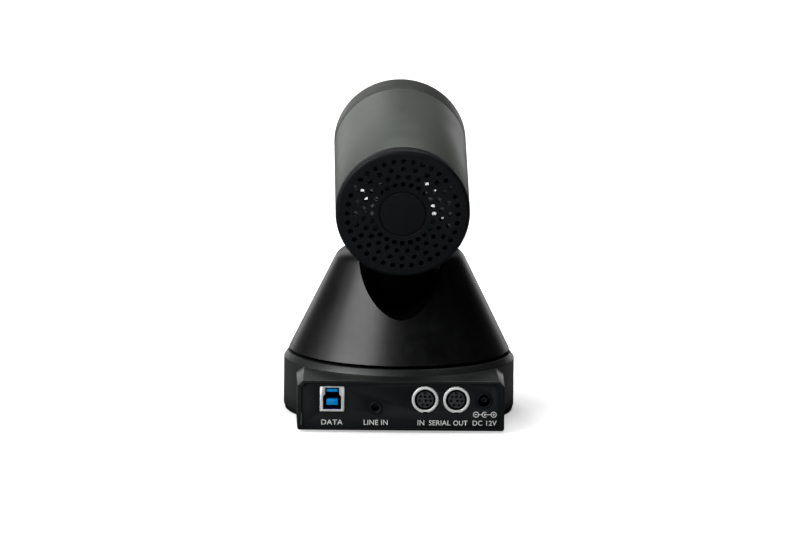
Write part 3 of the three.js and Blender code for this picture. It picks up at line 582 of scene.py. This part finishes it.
def make_base_housing():
    inner = BASE_RADIUS - BASE_WALL
    body = lathe("base_housing_look", rounded([
        (HUB_HOLE, DECK_BOTTOM, 0), (inner, DECK_BOTTOM, 0), (inner, -SKIRT_DROP, 0),
        (BASE_RADIUS - 0.75, -SKIRT_DROP, 0.3), (BASE_RADIUS, BASE_CREASE, 0.15),
        (BASE_RADIUS, BASE_SHOULDER, 0.7), (BASE_RADIUS - 2.05, BASE_TOP, 0.5),
        (DECK_RADIUS + 0.4, BASE_TOP, 0.2), (DECK_RADIUS, DECK_TOP, 0.2), (HUB_HOLE, DECK_TOP, 0.2),
    ], 4), FINE)
    roof = BOX_TOP - BOX_TOP_RIM
    half = BOX_HALF - BOX_SIDE_RIM
    hollow_outline = connector_box_outline(half, -2, roof, 2.4)
    mouth_outline = connector_box_outline(half, BOX_BOTTOM_RIM, roof, PANEL_CHAMFER)
    window_outline = box_outline(-IR_HALF, IR_HALF, IR_LOW, IR_HIGH, 2.5)
    join(body, make_connector_box())
    cut(
        body,
        prism("hollow", hollow_outline, BOX_START - 1, BOX_REAR - 3),
        prism("mouth", mouth_outline, BOX_REAR - 4, BOX_REAR + 2),
        prism("inside", disc_outline(inner, FINE), -2, DECK_BOTTOM, "Z"),
        prism("window", window_outline, -BASE_RADIUS - 3, -50),
        prism("lamp", disc_outline(1.6, 24, LAMP), -BASE_RADIUS - 3, -48),
    )
    finish_piece(body, BASE_BLACK, "base", ["base_housing"])
    # The narrow rim round the connector panel gets the panel's darker, less glossy finish, as painted shade on
    # that face of the housing.
    body.data.materials.append(PANEL_BLACK)
    for face in body.data.polygons:
        is_at_rear = (BASE.inverted() @ face.center).y > BOX_REAR - 0.3
        face.material_index = int(is_at_rear and face.normal.y > 0.9)


def make_bottom_plate():
    under, over = PLATE_LOW - 1, PLATE_HIGH + 1
    plate = prism("bottom_plate_look", disc_outline(PLATE_RADIUS, 128), PLATE_LOW, PLATE_HIGH, "Z")
    join(plate, prism("slab", box_outline(-48.6, 48.6, 0, 66.6), PLATE_LOW, PLATE_HIGH, "Z"))
    cut(plate, prism("insert_hole", disc_outline(INSERT_HOLE, 32), under, over, "Z"))
    for place in SCREW_PLACES:
        cut(plate, prism("screw_hole", disc_outline(SCREW_HOLE, 20, place), under, over, "Z"))
    bevel(plate, 0.25, 2, 40)
    finish_piece(plate, PANEL_BLACK, "base", ["bottom_plate"])


def make_feet():
    profile = rounded([
        (0, -FOOT_HEIGHT, 0), (FOOT_RADIUS, -FOOT_HEIGHT, 0.5), (FOOT_RADIUS, 0, 0.2), (0, 0, 0),
    ], 4)
    for i, (x, y) in enumerate(FOOT_PLACES):
        foot = lathe(f"foot_look_{i + 1}", profile, 40)
        move = BASE @ Matrix.Translation((x, y, 0))
        finish_piece(foot, RUBBER, "base", [f"foot_{i + 1}"], move)


def make_bottom_screws():
    """Cross-head screws whose heads lie under the bottom plate."""
    head, head_height, shank, length = 2.4, 0.6, 1.2, 10
    profile = rounded([
        (0, 0.25, 0), (1.3, 0.25, 0), (1.3, 0, 0.1), (head, 0, 0.2), (head, head_height, 0.1),
        (shank, head_height, 0), (shank, length, 0), (0, length, 0),
    ], 3)
    slot_half, slot_width, slot_depth = 1.1, 0.4, 1.0
    side = slot_width / 2
    for i, (x, y) in enumerate(SCREW_PLACES):
        screw = lathe(f"bottom_screw_look_{i + 1}", profile, 32)
        cut(
            screw,
            prism("cross", box_outline(-slot_half, slot_half, -side, side), -0.1, slot_depth, "Z"),
            prism("other", box_outline(-side, side, -slot_half, slot_half), -0.1, slot_depth, "Z"),
        )
        move = BASE @ Matrix.Translation((x, y, -head_height))
        finish_piece(screw, STEEL, "base", [f"bottom_screw_{i + 1}"], move)


# ---- connectors ----------------------------------
def make_panel():
    seam = 0.06
    back = PANEL_FACE - PANEL_THICK
    low, high = back - 1, PANEL_FACE + 1
    roof = BOX_TOP - BOX_TOP_RIM - seam
    half = BOX_HALF - BOX_SIDE_RIM - seam
    outline = connector_box_outline(half, BOX_BOTTOM_RIM + seam, roof, PANEL_CHAMFER)
    plate = prism("rear_panel_look", outline, back, PANEL_FACE)
    x, z = DATA_PORT
    across, up = (size + PORT_GAP for size in PORT_HALF)
    cut(plate, prism("port", box_outline(x - across, x + across, z - up, z + up, 0.5), low, high))
    for place, radius in PANEL_HOLES:
        cut(plate, prism("hole", disc_outline(radius, 64, place), low, high))
    bevel(plate, 0.15, 2, 40)
    finish_piece(plate, PANEL_BLACK, "base", ["rear_panel"])


def panel_place(centre):
    """The local frame of a connector: its middle is the origin, and +Y is out of the panel."""
    return BASE @ Matrix.Translation((centre[0], 0, centre[1]))


def data_socket_outline(inset=0.0):
    """The opening of the data port, which steps in towards its top."""
    low_half, high_half = 4.5 - inset, 3.5 - inset
    low, high = -5.15 + inset, 5.8 - inset
    left = [(-high_half, high), (-high_half, 2.35), (-low_half, 1.3)]
    right = [(low_half, 1.3), (high_half, 2.35), (high_half, high)]
    return [(-low_half, low), (low_half, low)] + right + left


def make_data_port():
    """A square metal shell lined in dark blue, with a blue tongue in two parts and five contacts."""
    place = panel_place(DATA_PORT)
    across, up = PORT_HALF
    shell = prism("data_port_shell_look", box_outline(-across, across, -up, up, 0.35), PORT_BACK, PORT_FACE)
    socket_back, past_face = 59.0, PORT_FACE + 1.3
    cut(shell, prism("socket", data_socket_outline(), socket_back, past_face))
    bevel(shell, 0.12, 2, 40)
    finish_piece(shell, NICKEL_PAINTED_SHINE, "base", ["data_port_shell"], place)

    inner = data_socket_outline(0.28)
    liner = prism("data_port_liner", data_socket_outline(), socket_back + 0.05, PORT_FACE - 0.25)
    cut(liner, prism("inner", inner, socket_back + 0.35, past_face))
    finish_piece(liner, BLUE_DARK, "base", [], place)
    # A near-black plate at the back of the socket: painted shade in its depth.
    back = prism("data_port_back_shade", inner, 64.6, 65.4)
    finish_piece(back, BLACK_AND_PAINTED_SHADE, "base", [], place)

    root = 65.2
    tongue = prism("data_port_tongue_look", box_outline(-2.75, 2.75, -2.95, -0.1, 0.2), root, 69.2)
    join(tongue, prism("upper", box_outline(-2.65, 2.65, 3.55, 4.95, 0.2), root, 69.3))
    bevel(tongue, 0.1, 2, 40)
    finish_piece(tongue, BLUE_PLASTIC, "base", ["data_port_tongue"], place)
    for k in range(5):
        x = k - 2.0
        verts, faces = prism_data(box_outline(x - 0.2, x + 0.2, 3.47, 3.6, 0.03, 2), root, 68.6)
        new_piece(f"data_contact_{k + 1}", verts, faces, NICKEL_PAINTED_SHINE, "base", [], place)


# Contact holes of a round socket, as seen from its front.
SERIAL_PINS = (
    (-2.2, 1.6), (0, 1.6), (2.2, 1.6), (-2.7, -0.4), (-0.45, -0.4), (2.7, -0.4), (-1.1, -2.5), (1.1, -2.5),
)


def make_serial(name, centre):
    """A round socket: a notched metal ring, an insert with eight contact holes, and a near-black liner in the dark
    gap between them, which is painted shade.
    """
    place = panel_place(centre)
    opening, outer, insert_radius, insert_face = 5.15, 6.6, 4.1, 69.0
    shell = lathe(f"{name}_shell_look", rounded([
        (opening, 58, 0), (outer, 58, 0), (outer, PORT_FACE, 0.4), (opening + 0.2, PORT_FACE, 0.15),
        (opening, PORT_FACE - 0.3, 0.1),
    ], 4), 96, "Y")
    low_notch = [(-1.6, -7.2), (1.6, -7.2), (1.0, -5.95), (-1.0, -5.95)]
    high_notch = [(-1.0, 7.2), (-0.6, 6.25), (0.6, 6.25), (1.0, 7.2)]
    cut(shell, prism("notch_low", low_notch, 67.6, 71), prism("notch_high", high_notch, 68.8, 71))
    finish_piece(shell, NICKEL_PAINTED_SHINE, "base", [f"{name}_shell"], place)

    insert = lathe(f"{name}_insert_look", rounded([
        (0, 59, 0), (insert_radius, 59, 0), (insert_radius, insert_face, 0.2), (0, insert_face, 0),
    ], 3), 72, "Y")
    key_back, past_face = 66, 70
    cut(
        insert,
        many_rods("pins", SERIAL_PINS, 0.76, 64, past_face, 20),
        prism("key", box_outline(-0.85, 0.85, 2.6, 6, 0.1), key_back, past_face),
        prism("side_left", box_outline(-5, -3.3, -3.1, -1.9, 0.1), key_back, past_face),
        prism("side_right", box_outline(3.3, 5, -3.1, -1.9, 0.1), key_back, past_face),
    )
    finish_piece(insert, INSERT_GREY, "base", [f"{name}_insert"], place)

    # A near-black sheet in the gap and behind the low notch: painted shade in those recesses.
    inside, outside, front = insert_radius + 0.02, opening - 0.01, PORT_FACE - 1.1
    lining = [(inside, 60), (outside, 60), (outside, front), (inside, front)]
    liner = lathe(f"{name}_gap_painted_shade", lining, 72, "Y")
    notch_back = [(-1.5, -6.6), (1.5, -6.6), (1.0, -6.0), (-1.0, -6.0)]
    join(liner, prism("notch_back", notch_back, 67.65, PORT_FACE - 0.4))
    finish_piece(liner, BLACK_AND_PAINTED_SHADE, "base", [], place)


def make_line_jack():
    outer, step, bore = 3.2, 2.3, 1.8
    jack = lathe("line_in_jack_look", rounded([
        (0, PORT_BACK, 0), (outer, PORT_BACK, 0), (outer, PORT_FACE, 0.3), (step + 0.2, PORT_FACE, 0.15),
        (step, PORT_FACE - 0.35, 0.1), (bore, PORT_FACE - 0.35, 0.15), (bore, 57, 0), (0, 57, 0),
    ], 4), 64, "Y")
    finish_piece(jack, CAP_BLACK, "base", ["line_in_jack"], panel_place(LINE_JACK))


def make_power_jack():
    """A barrel jack, a near-black sheet lining its bore as painted shade, and its hollow centre pin."""
    place = panel_place(POWER_JACK)
    outer, bore, floor = 3.8, 3.07, 58
    jack = lathe("power_jack_look", rounded([
        (0, PORT_BACK, 0), (outer, PORT_BACK, 0), (outer, PORT_FACE, 0.35), (bore, PORT_FACE, 0.2),
        (bore, floor, 0), (0, floor, 0),
    ], 4), 72, "Y")
    finish_piece(jack, PANEL_BLACK, "base", ["power_jack"], place)

    # A near-black sheet inside the bore: painted shade.
    inside, outside, back, front = 2.95, 3.05, 58.3, PORT_FACE - 0.6
    lining = [(inside, back), (outside, back), (outside, front), (inside, front)]
    liner = lathe("power_jack_bore_shade", lining, 64, "Y")
    finish_piece(liner, BLACK_AND_PAINTED_SHADE, "base", [], place)

    radius, hole, root, tip = 1.3, 0.65, 58.4, 67.2
    pin = lathe("power_jack_pin_look", rounded([
        (0, root, 0), (radius, root, 0), (radius, tip, 0.25), (hole, tip, 0.15), (hole, 62, 0), (0, 62, 0),
    ], 4), 40, "Y")
    finish_piece(pin, DARK_STEEL, "base", ["power_jack_pin"], place)


# ---- printed marks -------------------------------
LETTER_BOLD = 0.012              # share of the letters' height
LETTER_SPACING = 1.06


def print_mark(mesh_object):
    """Gives flat marks the panel's white ink, and lets them ride on the base."""
    mesh_object.data.transform(BASE)
    mesh_object.data.materials.clear()
    mesh_object.data.materials.append(LABEL_WHITE)
    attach(mesh_object, "base")


def make_text(name, words, x, z, height, width):
    """Flat printed words on the panel, centred on x and stretched to a given width."""
    curve = bpy.data.curves.new(name, "FONT")
    curve.body = words
    curve.align_x = "CENTER"
    curve.size = 1.0
    curve.offset = LETTER_BOLD
    curve.space_character = LETTER_SPACING
    curve.extrude = 0.0
    text = add_object(name, curve)
    bpy.context.view_layer.update()
    graph = bpy.context.evaluated_depsgraph_get()
    mesh = bpy.data.meshes.new_from_object(text.evaluated_get(graph))
    bpy.data.objects.remove(text)
    xs = [v.co.x for v in mesh.vertices]
    ys = [v.co.y for v in mesh.vertices]
    across = width / (max(xs) - min(xs))
    up = height / (max(ys) - min(ys))
    middle = (max(xs) + min(xs)) / 2
    bottom = min(ys)
    # Whoever faces the panel looks along -Y, so the words run towards -X.
    for v in mesh.vertices:
        v.co = Vector((x - (v.co.x - middle) * across, PANEL_FACE + PRINT_LIFT, z + (v.co.y - bottom) * up))
    print_mark(add_object(name, mesh))


def ring_mark(name, x, z, outer, inner, start=0.0, sweep=360.0):
    """A flat printed ring, or part of one, on the panel."""
    steps = 40
    level = PANEL_FACE + PRINT_LIFT
    rows = steps if sweep >= 360 else steps + 1
    verts = []
    for k in range(rows):
        angle = math.radians(start + sweep * k / steps)
        verts += [(x - r * math.cos(angle), level, z + r * math.sin(angle)) for r in (inner, outer)]
    faces = []
    for k in range(steps):
        n = (k + 1) % rows
        faces.append((2 * k, 2 * k + 1, 2 * n + 1, 2 * n))
    print_mark(add_mesh(name, verts, faces))


def bar_mark(name, left, right, low, high):
    level = PANEL_FACE + PRINT_LIFT
    verts = [(left, level, low), (right, level, low), (right, level, high), (left, level, high)]
    print_mark(add_mesh(name, verts, [(0, 1, 2, 3)]))


def make_polarity_sign():
    """Minus, centre and plus of the power jack, joined by a line."""
    z = 8.15
    minus, middle, plus = -36.95, -41.25, -45.6
    outer, inner, half, dash = 1.5, 1.08, 0.2, 0.65
    dot_radius = 0.55
    gap_start, gap_sweep = 50, 260
    ring_mark("polarity_minus_ring", minus, z, outer, inner)
    ring_mark("polarity_plus_ring", plus, z, outer, inner)
    ring_mark("polarity_middle", middle, z, outer, inner, gap_start, gap_sweep)
    ring_mark("polarity_dot", middle, z, dot_radius, 0.0)
    bar_mark("polarity_line_minus", middle + outer, minus - outer, z - half, z + half)
    bar_mark("polarity_line_plus", plus + outer, middle, z - half, z + half)
    bar_mark("polarity_minus", minus - dash, minus + dash, z - half, z + half)
    bar_mark("polarity_plus_across", plus - dash, plus + dash, z - half, z + half)
    bar_mark("polarity_plus_up", plus - half, plus + half, z - dash, z + dash)


# name: words, middle across the panel, width
LABELS = {
    "label_data": ("DATA", 33.8, 10.6),
    "label_line_in": ("LINE IN", 12.3, 11.8),
    "label_in": ("IN", -9.9, 3.3),
    "label_serial": ("SERIAL", -19.1, 10.6),
    "label_out": ("OUT", -29.3, 7.0),
    "label_power": ("DC 12V", -41.2, 11.8),
}
LABEL_LOW = 2.6
LABEL_HEIGHT = 2.55


def make_labels():
    for name, (words, x, width) in LABELS.items():
        make_text(name, words, x, LABEL_LOW, LABEL_HEIGHT, width)
    make_polarity_sign()


# ---- front of the base ---------------------------
def make_ir_window():
    """A curved window that follows the wall: part of a ring, cut out with rounded corners."""
    inner, outer = 55.3, 57.0
    low, high, half = IR_LOW + IR_GAP, IR_HIGH - IR_GAP, IR_HALF - IR_GAP
    ring = lathe("ir_window_look", rounded([
        (inner, low, 0), (outer, low, 0.3), (outer, high, 0.3), (inner, high, 0),
    ], 3), FINE)
    combine(ring, prism("keep", box_outline(-half, half, low, high, 2.2), -60, -50), "INTERSECT")
    finish_piece(ring, IR_PLASTIC, "base", ["ir_window"])


def make_status_lamp():
    radius, front, back = 1.3, -53.8, -49
    dome = lathe("status_lamp_look", rounded([
        (0, front, 0), (radius, front, 0.5), (radius, back, 0), (0, back, 0),
    ], 4), 32, "Y")
    finish_piece(dome, LAMP_LENS, "base", ["status_lamp"], panel_place(LAMP))


# ---- turret --------------------------------------
def cone_radius(z):
    return CONE_FOOT[0] - CONE_SLOPE * (z - CONE_FOOT[1])


def cone_profile(inset, foot, steps=12):
    """The turret's side, the arc of its shoulder and its flat top, drawn in by a wall thickness."""
    edge = cone_radius(foot)
    points = [(0, foot), (edge - inset, foot)]
    if inset == 0:
        # The outer skin's lower edge is eased.
        points = [(0, foot), (edge - 0.5, foot), (edge - 0.15, foot + 0.12), (edge, foot + 0.45)]
    lean = math.atan(CONE_SLOPE)
    centre = cone_radius(CONE_SHOULDER) - SHOULDER_RADIUS * math.cos(lean)
    level = CONE_SHOULDER - SHOULDER_RADIUS * math.sin(lean)
    radius = SHOULDER_RADIUS - inset * math.cos(lean)
    for i in range(steps + 1):
        angle = lean + (math.pi / 2 - lean) * i / steps
        points.append((centre + radius * math.cos(angle), level + radius * math.sin(angle)))
    points.append((0, level + radius))
    return points


def channel_prism(grow, steps=72):
    """The U-shaped channel through the turret: half a superellipse, open at the top."""
    power = 2 / CHANNEL_POWER
    outline = []
    for i in range(steps + 1):
        angle = math.pi * i / steps
        across, down = math.cos(angle), math.sin(angle)
        x = (CHANNEL_HALF + grow) * math.copysign(abs(across) ** power, across)
        z = CHANNEL_TOP - (CHANNEL_DEPTH + grow) * abs(down) ** power
        outline.append((x, z))
    above = 90
    outline += [(-CHANNEL_HALF - grow, above), (CHANNEL_HALF + grow, above)]
    return prism("channel", outline, -60, 60)


def make_turret():
    body = lathe("turret_shell_look", cone_profile(0, SKIRT), FINE)
    inside = lathe("inside", cone_profile(TURRET_WALL, SKIRT - 1), FINE)
    cut(inside, channel_prism(2))
    cut(body, inside)
    cut(body, channel_prism(0))
    for side in (-1, 1):
        bore = lathe("bore", [(0, 15), (TILT_BORE, 15), (TILT_BORE, 27), (0, 27)], 48, "X")
        bore.data.transform(Matrix.Scale(side, 4, (1, 0, 0)))
        bore.data.transform(Matrix.Translation((0, 0, PIVOT_HEIGHT)))
        turn_outwards(bore.data)
        cut(body, bore)
    bevel(body, 0.25, 3, 38)
    finish_piece(body, SATIN_BLACK, "turret", ["turret_shell"], BASE, 40)
    # The channel and the inside get the near-black: painted shade for the head's shadow in the channel.
    body.data.materials.append(BLACK_AND_PAINTED_SHADE)
    for face in body.data.polygons:
        face.material_index = int(is_inside_turret(BASE.inverted() @ face.center, face.normal))


def is_inside_turret(point, normal):
    """Whether a face of the turret is on its channel or its inside, not its outer skin. Those faces get the
    near-black, as painted shade.
    """
    radius = math.hypot(point.x, point.y)
    if point.z > CONE_SHOULDER:
        faces_out = normal.x * point.x + normal.y * point.y >= 0.3 * radius
        return normal.z < 0.3 and not faces_out
    outward = Vector((point.x / radius, point.y / radius, CONE_SLOPE)).normalized()
    return radius < cone_radius(point.z) - 0.8 or normal.dot(outward) < 0.9


def make_neck():
    """A hub across the tilt axis, bellied in the channel, with the oval stem that carries the barrel. It is
    near-black all over: painted shade, for the channel's shadow it sits in.
    """
    half = rounded([
        (0, 16.1, 0), (5.5, 16.1, 0.5), (9.5, 13.5, 3), (13.5, 10, 4), (17, 5, 6), (18.5, 0, 0),
    ], 5)
    profile = half + [(r, -x) for r, x in reversed(half[:-1])]
    hub = lathe("neck_look", profile, 96, "X")
    join(hub, prism("stem", oval_outline(*STEM_HALF, 96), 3, HEAD_AXIS - 25, "Z"))
    bevel(hub, 0.5, 3, 30)
    finish_piece(hub, BLACK_AND_PAINTED_SHADE, "head", ["neck"], NECK)


# ---- head ----------------------------------------
def make_sleeve():
    inner = HEAD_RADIUS - SLEEVE_WALL
    profile = rounded([
        (inner, SLEEVE_FRONT, 0.2), (HEAD_RADIUS, SLEEVE_FRONT, 0.25), (HEAD_RADIUS, SLEEVE_REAR, 0.25),
        (inner, SLEEVE_REAR, 0.2),
    ], 3)
    tube = lathe("barrel_sleeve_look", profile, FINEST, "Y")
    hole = oval_outline(STEM_HALF[0] + STEM_GAP, STEM_HALF[1] + STEM_GAP, 96)
    cut(tube, prism("neck_hole", hole, -40, 0, "Z"))
    finish_piece(tube, SLEEVE_PAINT, "head", ["barrel_sleeve"], HEAD)


def make_front_ring():
    """The ring round the lens end, whose mouth steps down to the seat of the window."""
    front = -HEAD_FRONT
    spigot, mouth, seat = 30.8, 28.8, 26.5
    ledge, seat_back = front + 2.3, front + 4.7
    ring = lathe("front_ring_look", rounded([
        (spigot, RING_BACK, 0), (HEAD_RADIUS, RING_BACK, 0.25), (HEAD_RADIUS, front + 0.8, 0.6),
        (HEAD_RADIUS - 0.8, front, 0.5), (mouth + 0.4, front, 0.3), (mouth, front + 0.4, 0.2),
        (mouth, ledge, 0), (seat, ledge, 0.2), (seat, seat_back, 0.2), (spigot, seat_back, 0),
    ], 4), FINEST, "Y")
    finish_piece(ring, RING_PAINT, "head", ["front_ring"], HEAD)


def make_front_window():
    radius, front, back = 28.4, -50.9, -49.5
    window = lathe("front_window_look", rounded([
        (0, front, 0), (radius, front, 0.3), (radius, back, 0.2), (0, back, 0),
    ], 3), 160, "Y")
    finish_piece(window, DARK_GLASS, "head", ["front_window"], HEAD)


def vent_place(ring, degrees):
    """The point at some degrees round a ring of vent holes, across and up."""
    radius = VENT_RINGS[ring][0]
    angle = math.radians(degrees)
    return radius * math.cos(angle), radius * math.sin(angle)


def vent_places():
    places = []
    for ring, (_, count, phase) in enumerate(VENT_RINGS):
        places += [vent_place(ring, phase + 360 * k / count) for k in range(count)]
    return places


def make_rear_cap():
    """The perforated cap, with a shallow round groove about its middle."""
    inner_face = HEAD_REAR - CAP_THICK
    spigot = 30.6
    groove_in, groove_out, groove_floor = 11.1, 11.7, HEAD_REAR - 0.8
    profile = rounded([
        (0, inner_face, 0), (spigot, inner_face, 0), (spigot, CAP_LIP, 0), (HEAD_RADIUS, CAP_LIP, 0.15),
        (HEAD_RADIUS, HEAD_REAR, 1.9), (groove_out + 0.15, HEAD_REAR, 0.15), (groove_out, groove_floor, 0.08),
        (groove_in, groove_floor, 0.08), (groove_in - 0.15, HEAD_REAR, 0.15), (0, HEAD_REAR, 0),
    ], 6)
    cap = lathe("rear_cap_look", profile, FINEST, "Y")
    cut(cap, many_rods("vents", vent_places(), VENT_RADIUS, HEAD_REAR - 4, HEAD_REAR + 1, 20))
    bevel(cap, 0.1, 1, 60)
    finish_piece(cap, CAP_BLACK, "head", ["rear_cap"], HEAD)


# Spring fingers behind the vent holes: ring, degrees round it, share of the hole that one fills, and whether it is
# bright. The dim ones get blackened steel instead of plain steel, which dims their glints as painted shade.
FINGERS = (
    (1, 30, 0.72, True), (2, 22.5, 0.6, True), (2, 7.5, 0.42, False), (2, 37.5, 0.6, False),
    (3, 30, 0.4, False), (3, 15, 0.6, False), (3, 0, 0.55, False), (1, 45, 0.25, False),
    (2, 52.5, 0.35, False), (2, 127.5, 0.74, True), (2, 142.5, 0.34, True), (3, 150, 0.5, False),
    (2, 157.5, 0.5, False), (3, 165, 0.8, True), (2, 172.5, 0.6, False), (3, 180, 0.85, True),
    (2, 187.5, 0.45, True), (1, 150, 0.25, False),
)
FINGER_DEPTH = 52.5
FINGER_SIZE = (1.25, 1.0)        # half the width and half the height of one that fills its hole
FINGER_SHIFT = 0.7               # sideways, for one that fills none of it
FINGER_DROP = 0.25
FINGER_FACING = Vector((0.069, 0.992, 0.109))   # the way the tongues face, in the shared frame


def make_spring_fingers():
    """Small sheet-metal tongues on stems, behind the cap. All of them face the same way."""
    facing = (HEAD.to_3x3().inverted() @ FINGER_FACING).normalized()
    turn = facing.to_track_quat("Y", "Z").to_matrix().to_4x4()
    # The dim tongues get blackened steel rather than plain steel: painted shade that dims their glints.
    for bright, name, material in ((True, "bright", STEEL), (False, "dull", DARK_STEEL)):
        verts = []
        faces = []
        for k, (ring, degrees, share, shines) in enumerate(FINGERS):
            if shines != bright:
                continue
            x, z = vent_place(ring, degrees)
            shift = (1 - share) * (FINGER_SHIFT if k % 2 else -FINGER_SHIFT)
            middle = Vector((x + shift, FINGER_DEPTH, z - FINGER_DROP))
            across, up = (size * share for size in FINGER_SIZE)
            tongue = prism_data(box_outline(-across, across, -up, up, 0.25 * share), -0.12, 0.0)
            stem = prism_data(box_outline(-0.2, 0.2, -0.2, 0.2), -2.2, -0.1)
            for more, extra in (tongue, stem):
                faces += [tuple(i + len(verts) for i in face) for face in extra]
                verts += [turn @ Vector(v) + middle for v in more]
        new_piece(f"spring_fingers_{name}", verts, faces, material, "head", [], HEAD)


def make_lens_housing():
    """The tube of the lens, with a wider collar at its front, and the sloping baffle round it."""
    bore, collar, tube = 17, 21, 19.5
    front, step, back = -44, -20, 8.6
    housing = lathe("lens_housing_look", rounded([
        (bore, front, 0.3), (collar, front, 0.6), (collar, step, 0.5), (tube, step + 2, 0.5), (tube, back, 0),
        (bore, back, 0),
    ], 4), 128, "Y")
    finish_piece(housing, CAP_BLACK, "head", ["lens_housing"], HEAD)
    baffle = lathe("lens_baffle", [(21.2, -44.3), (28.6, -48.6), (28.6, -48.0), (21.2, -43.7)], 128, "Y")
    finish_piece(baffle, PANEL_BLACK, "head", [], HEAD)


def make_front_lens(steps=12):
    """The front lens: a dome with a flat back."""
    radius, rim, sag, back = 16.6, -41, 4.5, -39.0
    reach = [radius * k / steps for k in range(steps + 1)]
    dome = [(r, rim - sag * (1 - (r / radius) ** 2)) for r in reach]
    flat = [(r, back) for r in reversed(reach)]
    lens = lathe("front_lens_look", dome + flat, 96, "Y")
    finish_piece(lens, LENS_GLASS, "head", ["front_lens"], HEAD, 50)


# ---- stage, in metres ----------------------------
FLOOR_REACH = 9.0
CARD_REACH = (1.5, 0.075)        # outer and inner half side of the bounce card, a square frame
CARD_LEVEL = -0.0005
SQUARE = ((-1, -1), (1, -1), (1, 1), (-1, 1))


def make_stage():
    """A white floor for the eye, and a dim card just below it whose light reaches the object."""
    floor = add_mesh("floor", [(a * FLOOR_REACH, b * FLOOR_REACH, 0) for a, b in SQUARE], [(0, 1, 2, 3)])
    floor.data.materials.append(FLOOR_WHITE)
    floor.visible_diffuse = False
    floor.visible_glossy = False

    verts = [(a * reach, b * reach, CARD_LEVEL) for reach in CARD_REACH for a, b in SQUARE]
    card = add_mesh("bounce_card", verts, [(k, (k + 1) % 4, 4 + (k + 1) % 4, 4 + k) for k in range(4)])
    card.data.materials.append(BOUNCE)
    card.visible_camera = False


def make_world():
    """A black surround: all the light comes from the lamps, the floor and the card."""
    world = bpy.data.worlds.new("studio")
    bpy.context.scene.world = world
    world.use_nodes = True
    background = world.node_tree.nodes["Background"]
    background.inputs["Color"].default_value = (1, 1, 1, 1)
    background.inputs["Strength"].default_value = 0.0


# name: direction from the object, distance, width and height in metres, power in watts
LIGHTS = {
    "key_left": ((0.67, 0.435, 0.60), 1.6, 1.3, 1.0, 22.8),
    "side_left": ((0.97, 0.05, 0.22), 1.8, 0.8, 0.8, 4.1),
    "back_left": ((0.30, -0.88, 0.37), 2.0, 0.9, 0.9, 2.6),
    "back_middle": ((0.0, -0.85, 0.52), 2.0, 0.7, 0.7, 0.08),
    "back_right": ((-0.30, -0.88, 0.37), 2.0, 0.9, 0.9, 0.5),
    "horizon_left": ((0.36, -0.93, 0.05), 2.4, 0.7, 0.5, 1.7),
    "horizon_right": ((-0.36, -0.93, 0.05), 2.4, 0.7, 0.5, 1.7),
    "rim_left": ((0.75, -0.65, 0.12), 2.2, 0.5, 1.2, 0.12),
    "rim_right": ((-0.75, -0.65, 0.12), 2.2, 0.5, 1.2, 0.05),
    "overhead": ((0.0, -0.2, 1.0), 1.8, 1.3, 1.0, 18.0),
    "front_low": ((0.12, 0.985, 0.05), 3.4, 0.9, 0.25, 14.0),
}


def make_lights():
    """Soft rectangular lamps, all turned to the middle of the object."""
    middle = Vector((0, PAN_AXIS.y, 0.08))
    for name, (way, distance, width, height, power) in LIGHTS.items():
        data = bpy.data.lights.new(name, "AREA")
        data.shape = "RECTANGLE"
        data.size = width
        data.size_y = height
        data.energy = power
        light = add_object(name, data)
        away = Vector(way).normalized()
        light.location = middle + away * distance
        light.rotation_euler = away.to_track_quat("Z", "Y").to_euler()


CAMERA_DISTANCE = 4.010
CAMERA_AZIMUTH = math.radians(1.00)
CAMERA_ELEVATION = math.radians(9.64)
CAMERA_ROLL = math.radians(0.64)
CAMERA_TARGET_HEIGHT = 0.0708


def make_camera():
    """A long lens behind the object, a little above it and turned a little about its own axis."""
    level = math.cos(CAMERA_ELEVATION)
    back = Vector((
        math.sin(CAMERA_AZIMUTH) * level, math.cos(CAMERA_AZIMUTH) * level, math.sin(CAMERA_ELEVATION),
    ))
    right = (-back).cross(Vector((0, 0, 1))).normalized()
    up = right.cross(-back)
    rolled_right = right * math.cos(CAMERA_ROLL) + up * math.sin(CAMERA_ROLL)
    rolled_up = up * math.cos(CAMERA_ROLL) - right * math.sin(CAMERA_ROLL)
    data = bpy.data.cameras.new("camera")
    data.sensor_width = 36
    data.lens = 362.2
    data.clip_end = 50
    camera = add_object("camera", data)
    target = Vector((0, PAN_AXIS.y, CAMERA_TARGET_HEIGHT))
    turn = Matrix((rolled_right, rolled_up, back)).transposed().to_4x4()
    camera.matrix_world = Matrix.Translation(target + back * CAMERA_DISTANCE) @ turn
    bpy.context.scene.camera = camera


# ---- pieces that keep their CAD shape ------------
SLOT_LOOKS = {
    "steel": STEEL, "aluminium": ALUMINIUM, "brass": BRASS, "acetal": ACETAL, "circuit_board": BOARD_GREEN,
    "matte_black": BLACK_AND_PAINTED_SHADE, "optical_glass": CLEAR_GLASS, "smoked_glass": CHIP, "cable_jacket": CABLE,
    "nickel": NICKEL_PAINTED_SHINE,
}


def finish_cad_nodes():
    """Inner pieces get the surface of their slot. The tilt drive shows in the channel, so it gets a near-black
    finish as painted shade, for the channel's shadow.
    """
    slots = {entry["node"]: entry["material_slot"] for entry in frame["record"]["subparts"]}
    for name, obj in frame["nodes"].items():
        if obj.hide_render:
            continue
        obj.data.materials.clear()
        obj.data.materials.append(SHADED_SHAFT_BLACK if name.startswith("tilt_") else SLOT_LOOKS[slots[name]])


make_camera()
make_base_housing()
make_bottom_plate()
make_feet()
make_bottom_screws()
make_panel()
make_data_port()
make_serial("serial_in", SERIAL_IN)
make_serial("serial_out", SERIAL_OUT)
make_line_jack()
make_power_jack()
make_labels()
make_ir_window()
make_status_lamp()
make_turret()
make_neck()
make_sleeve()
make_front_ring()
make_front_window()
make_rear_cap()
make_lens_housing()
make_front_lens()
make_spring_fingers()
finish_cad_nodes()
make_stage()
make_world()
make_lights()
bpy.context.scene.view_settings.view_transform = "Standard"
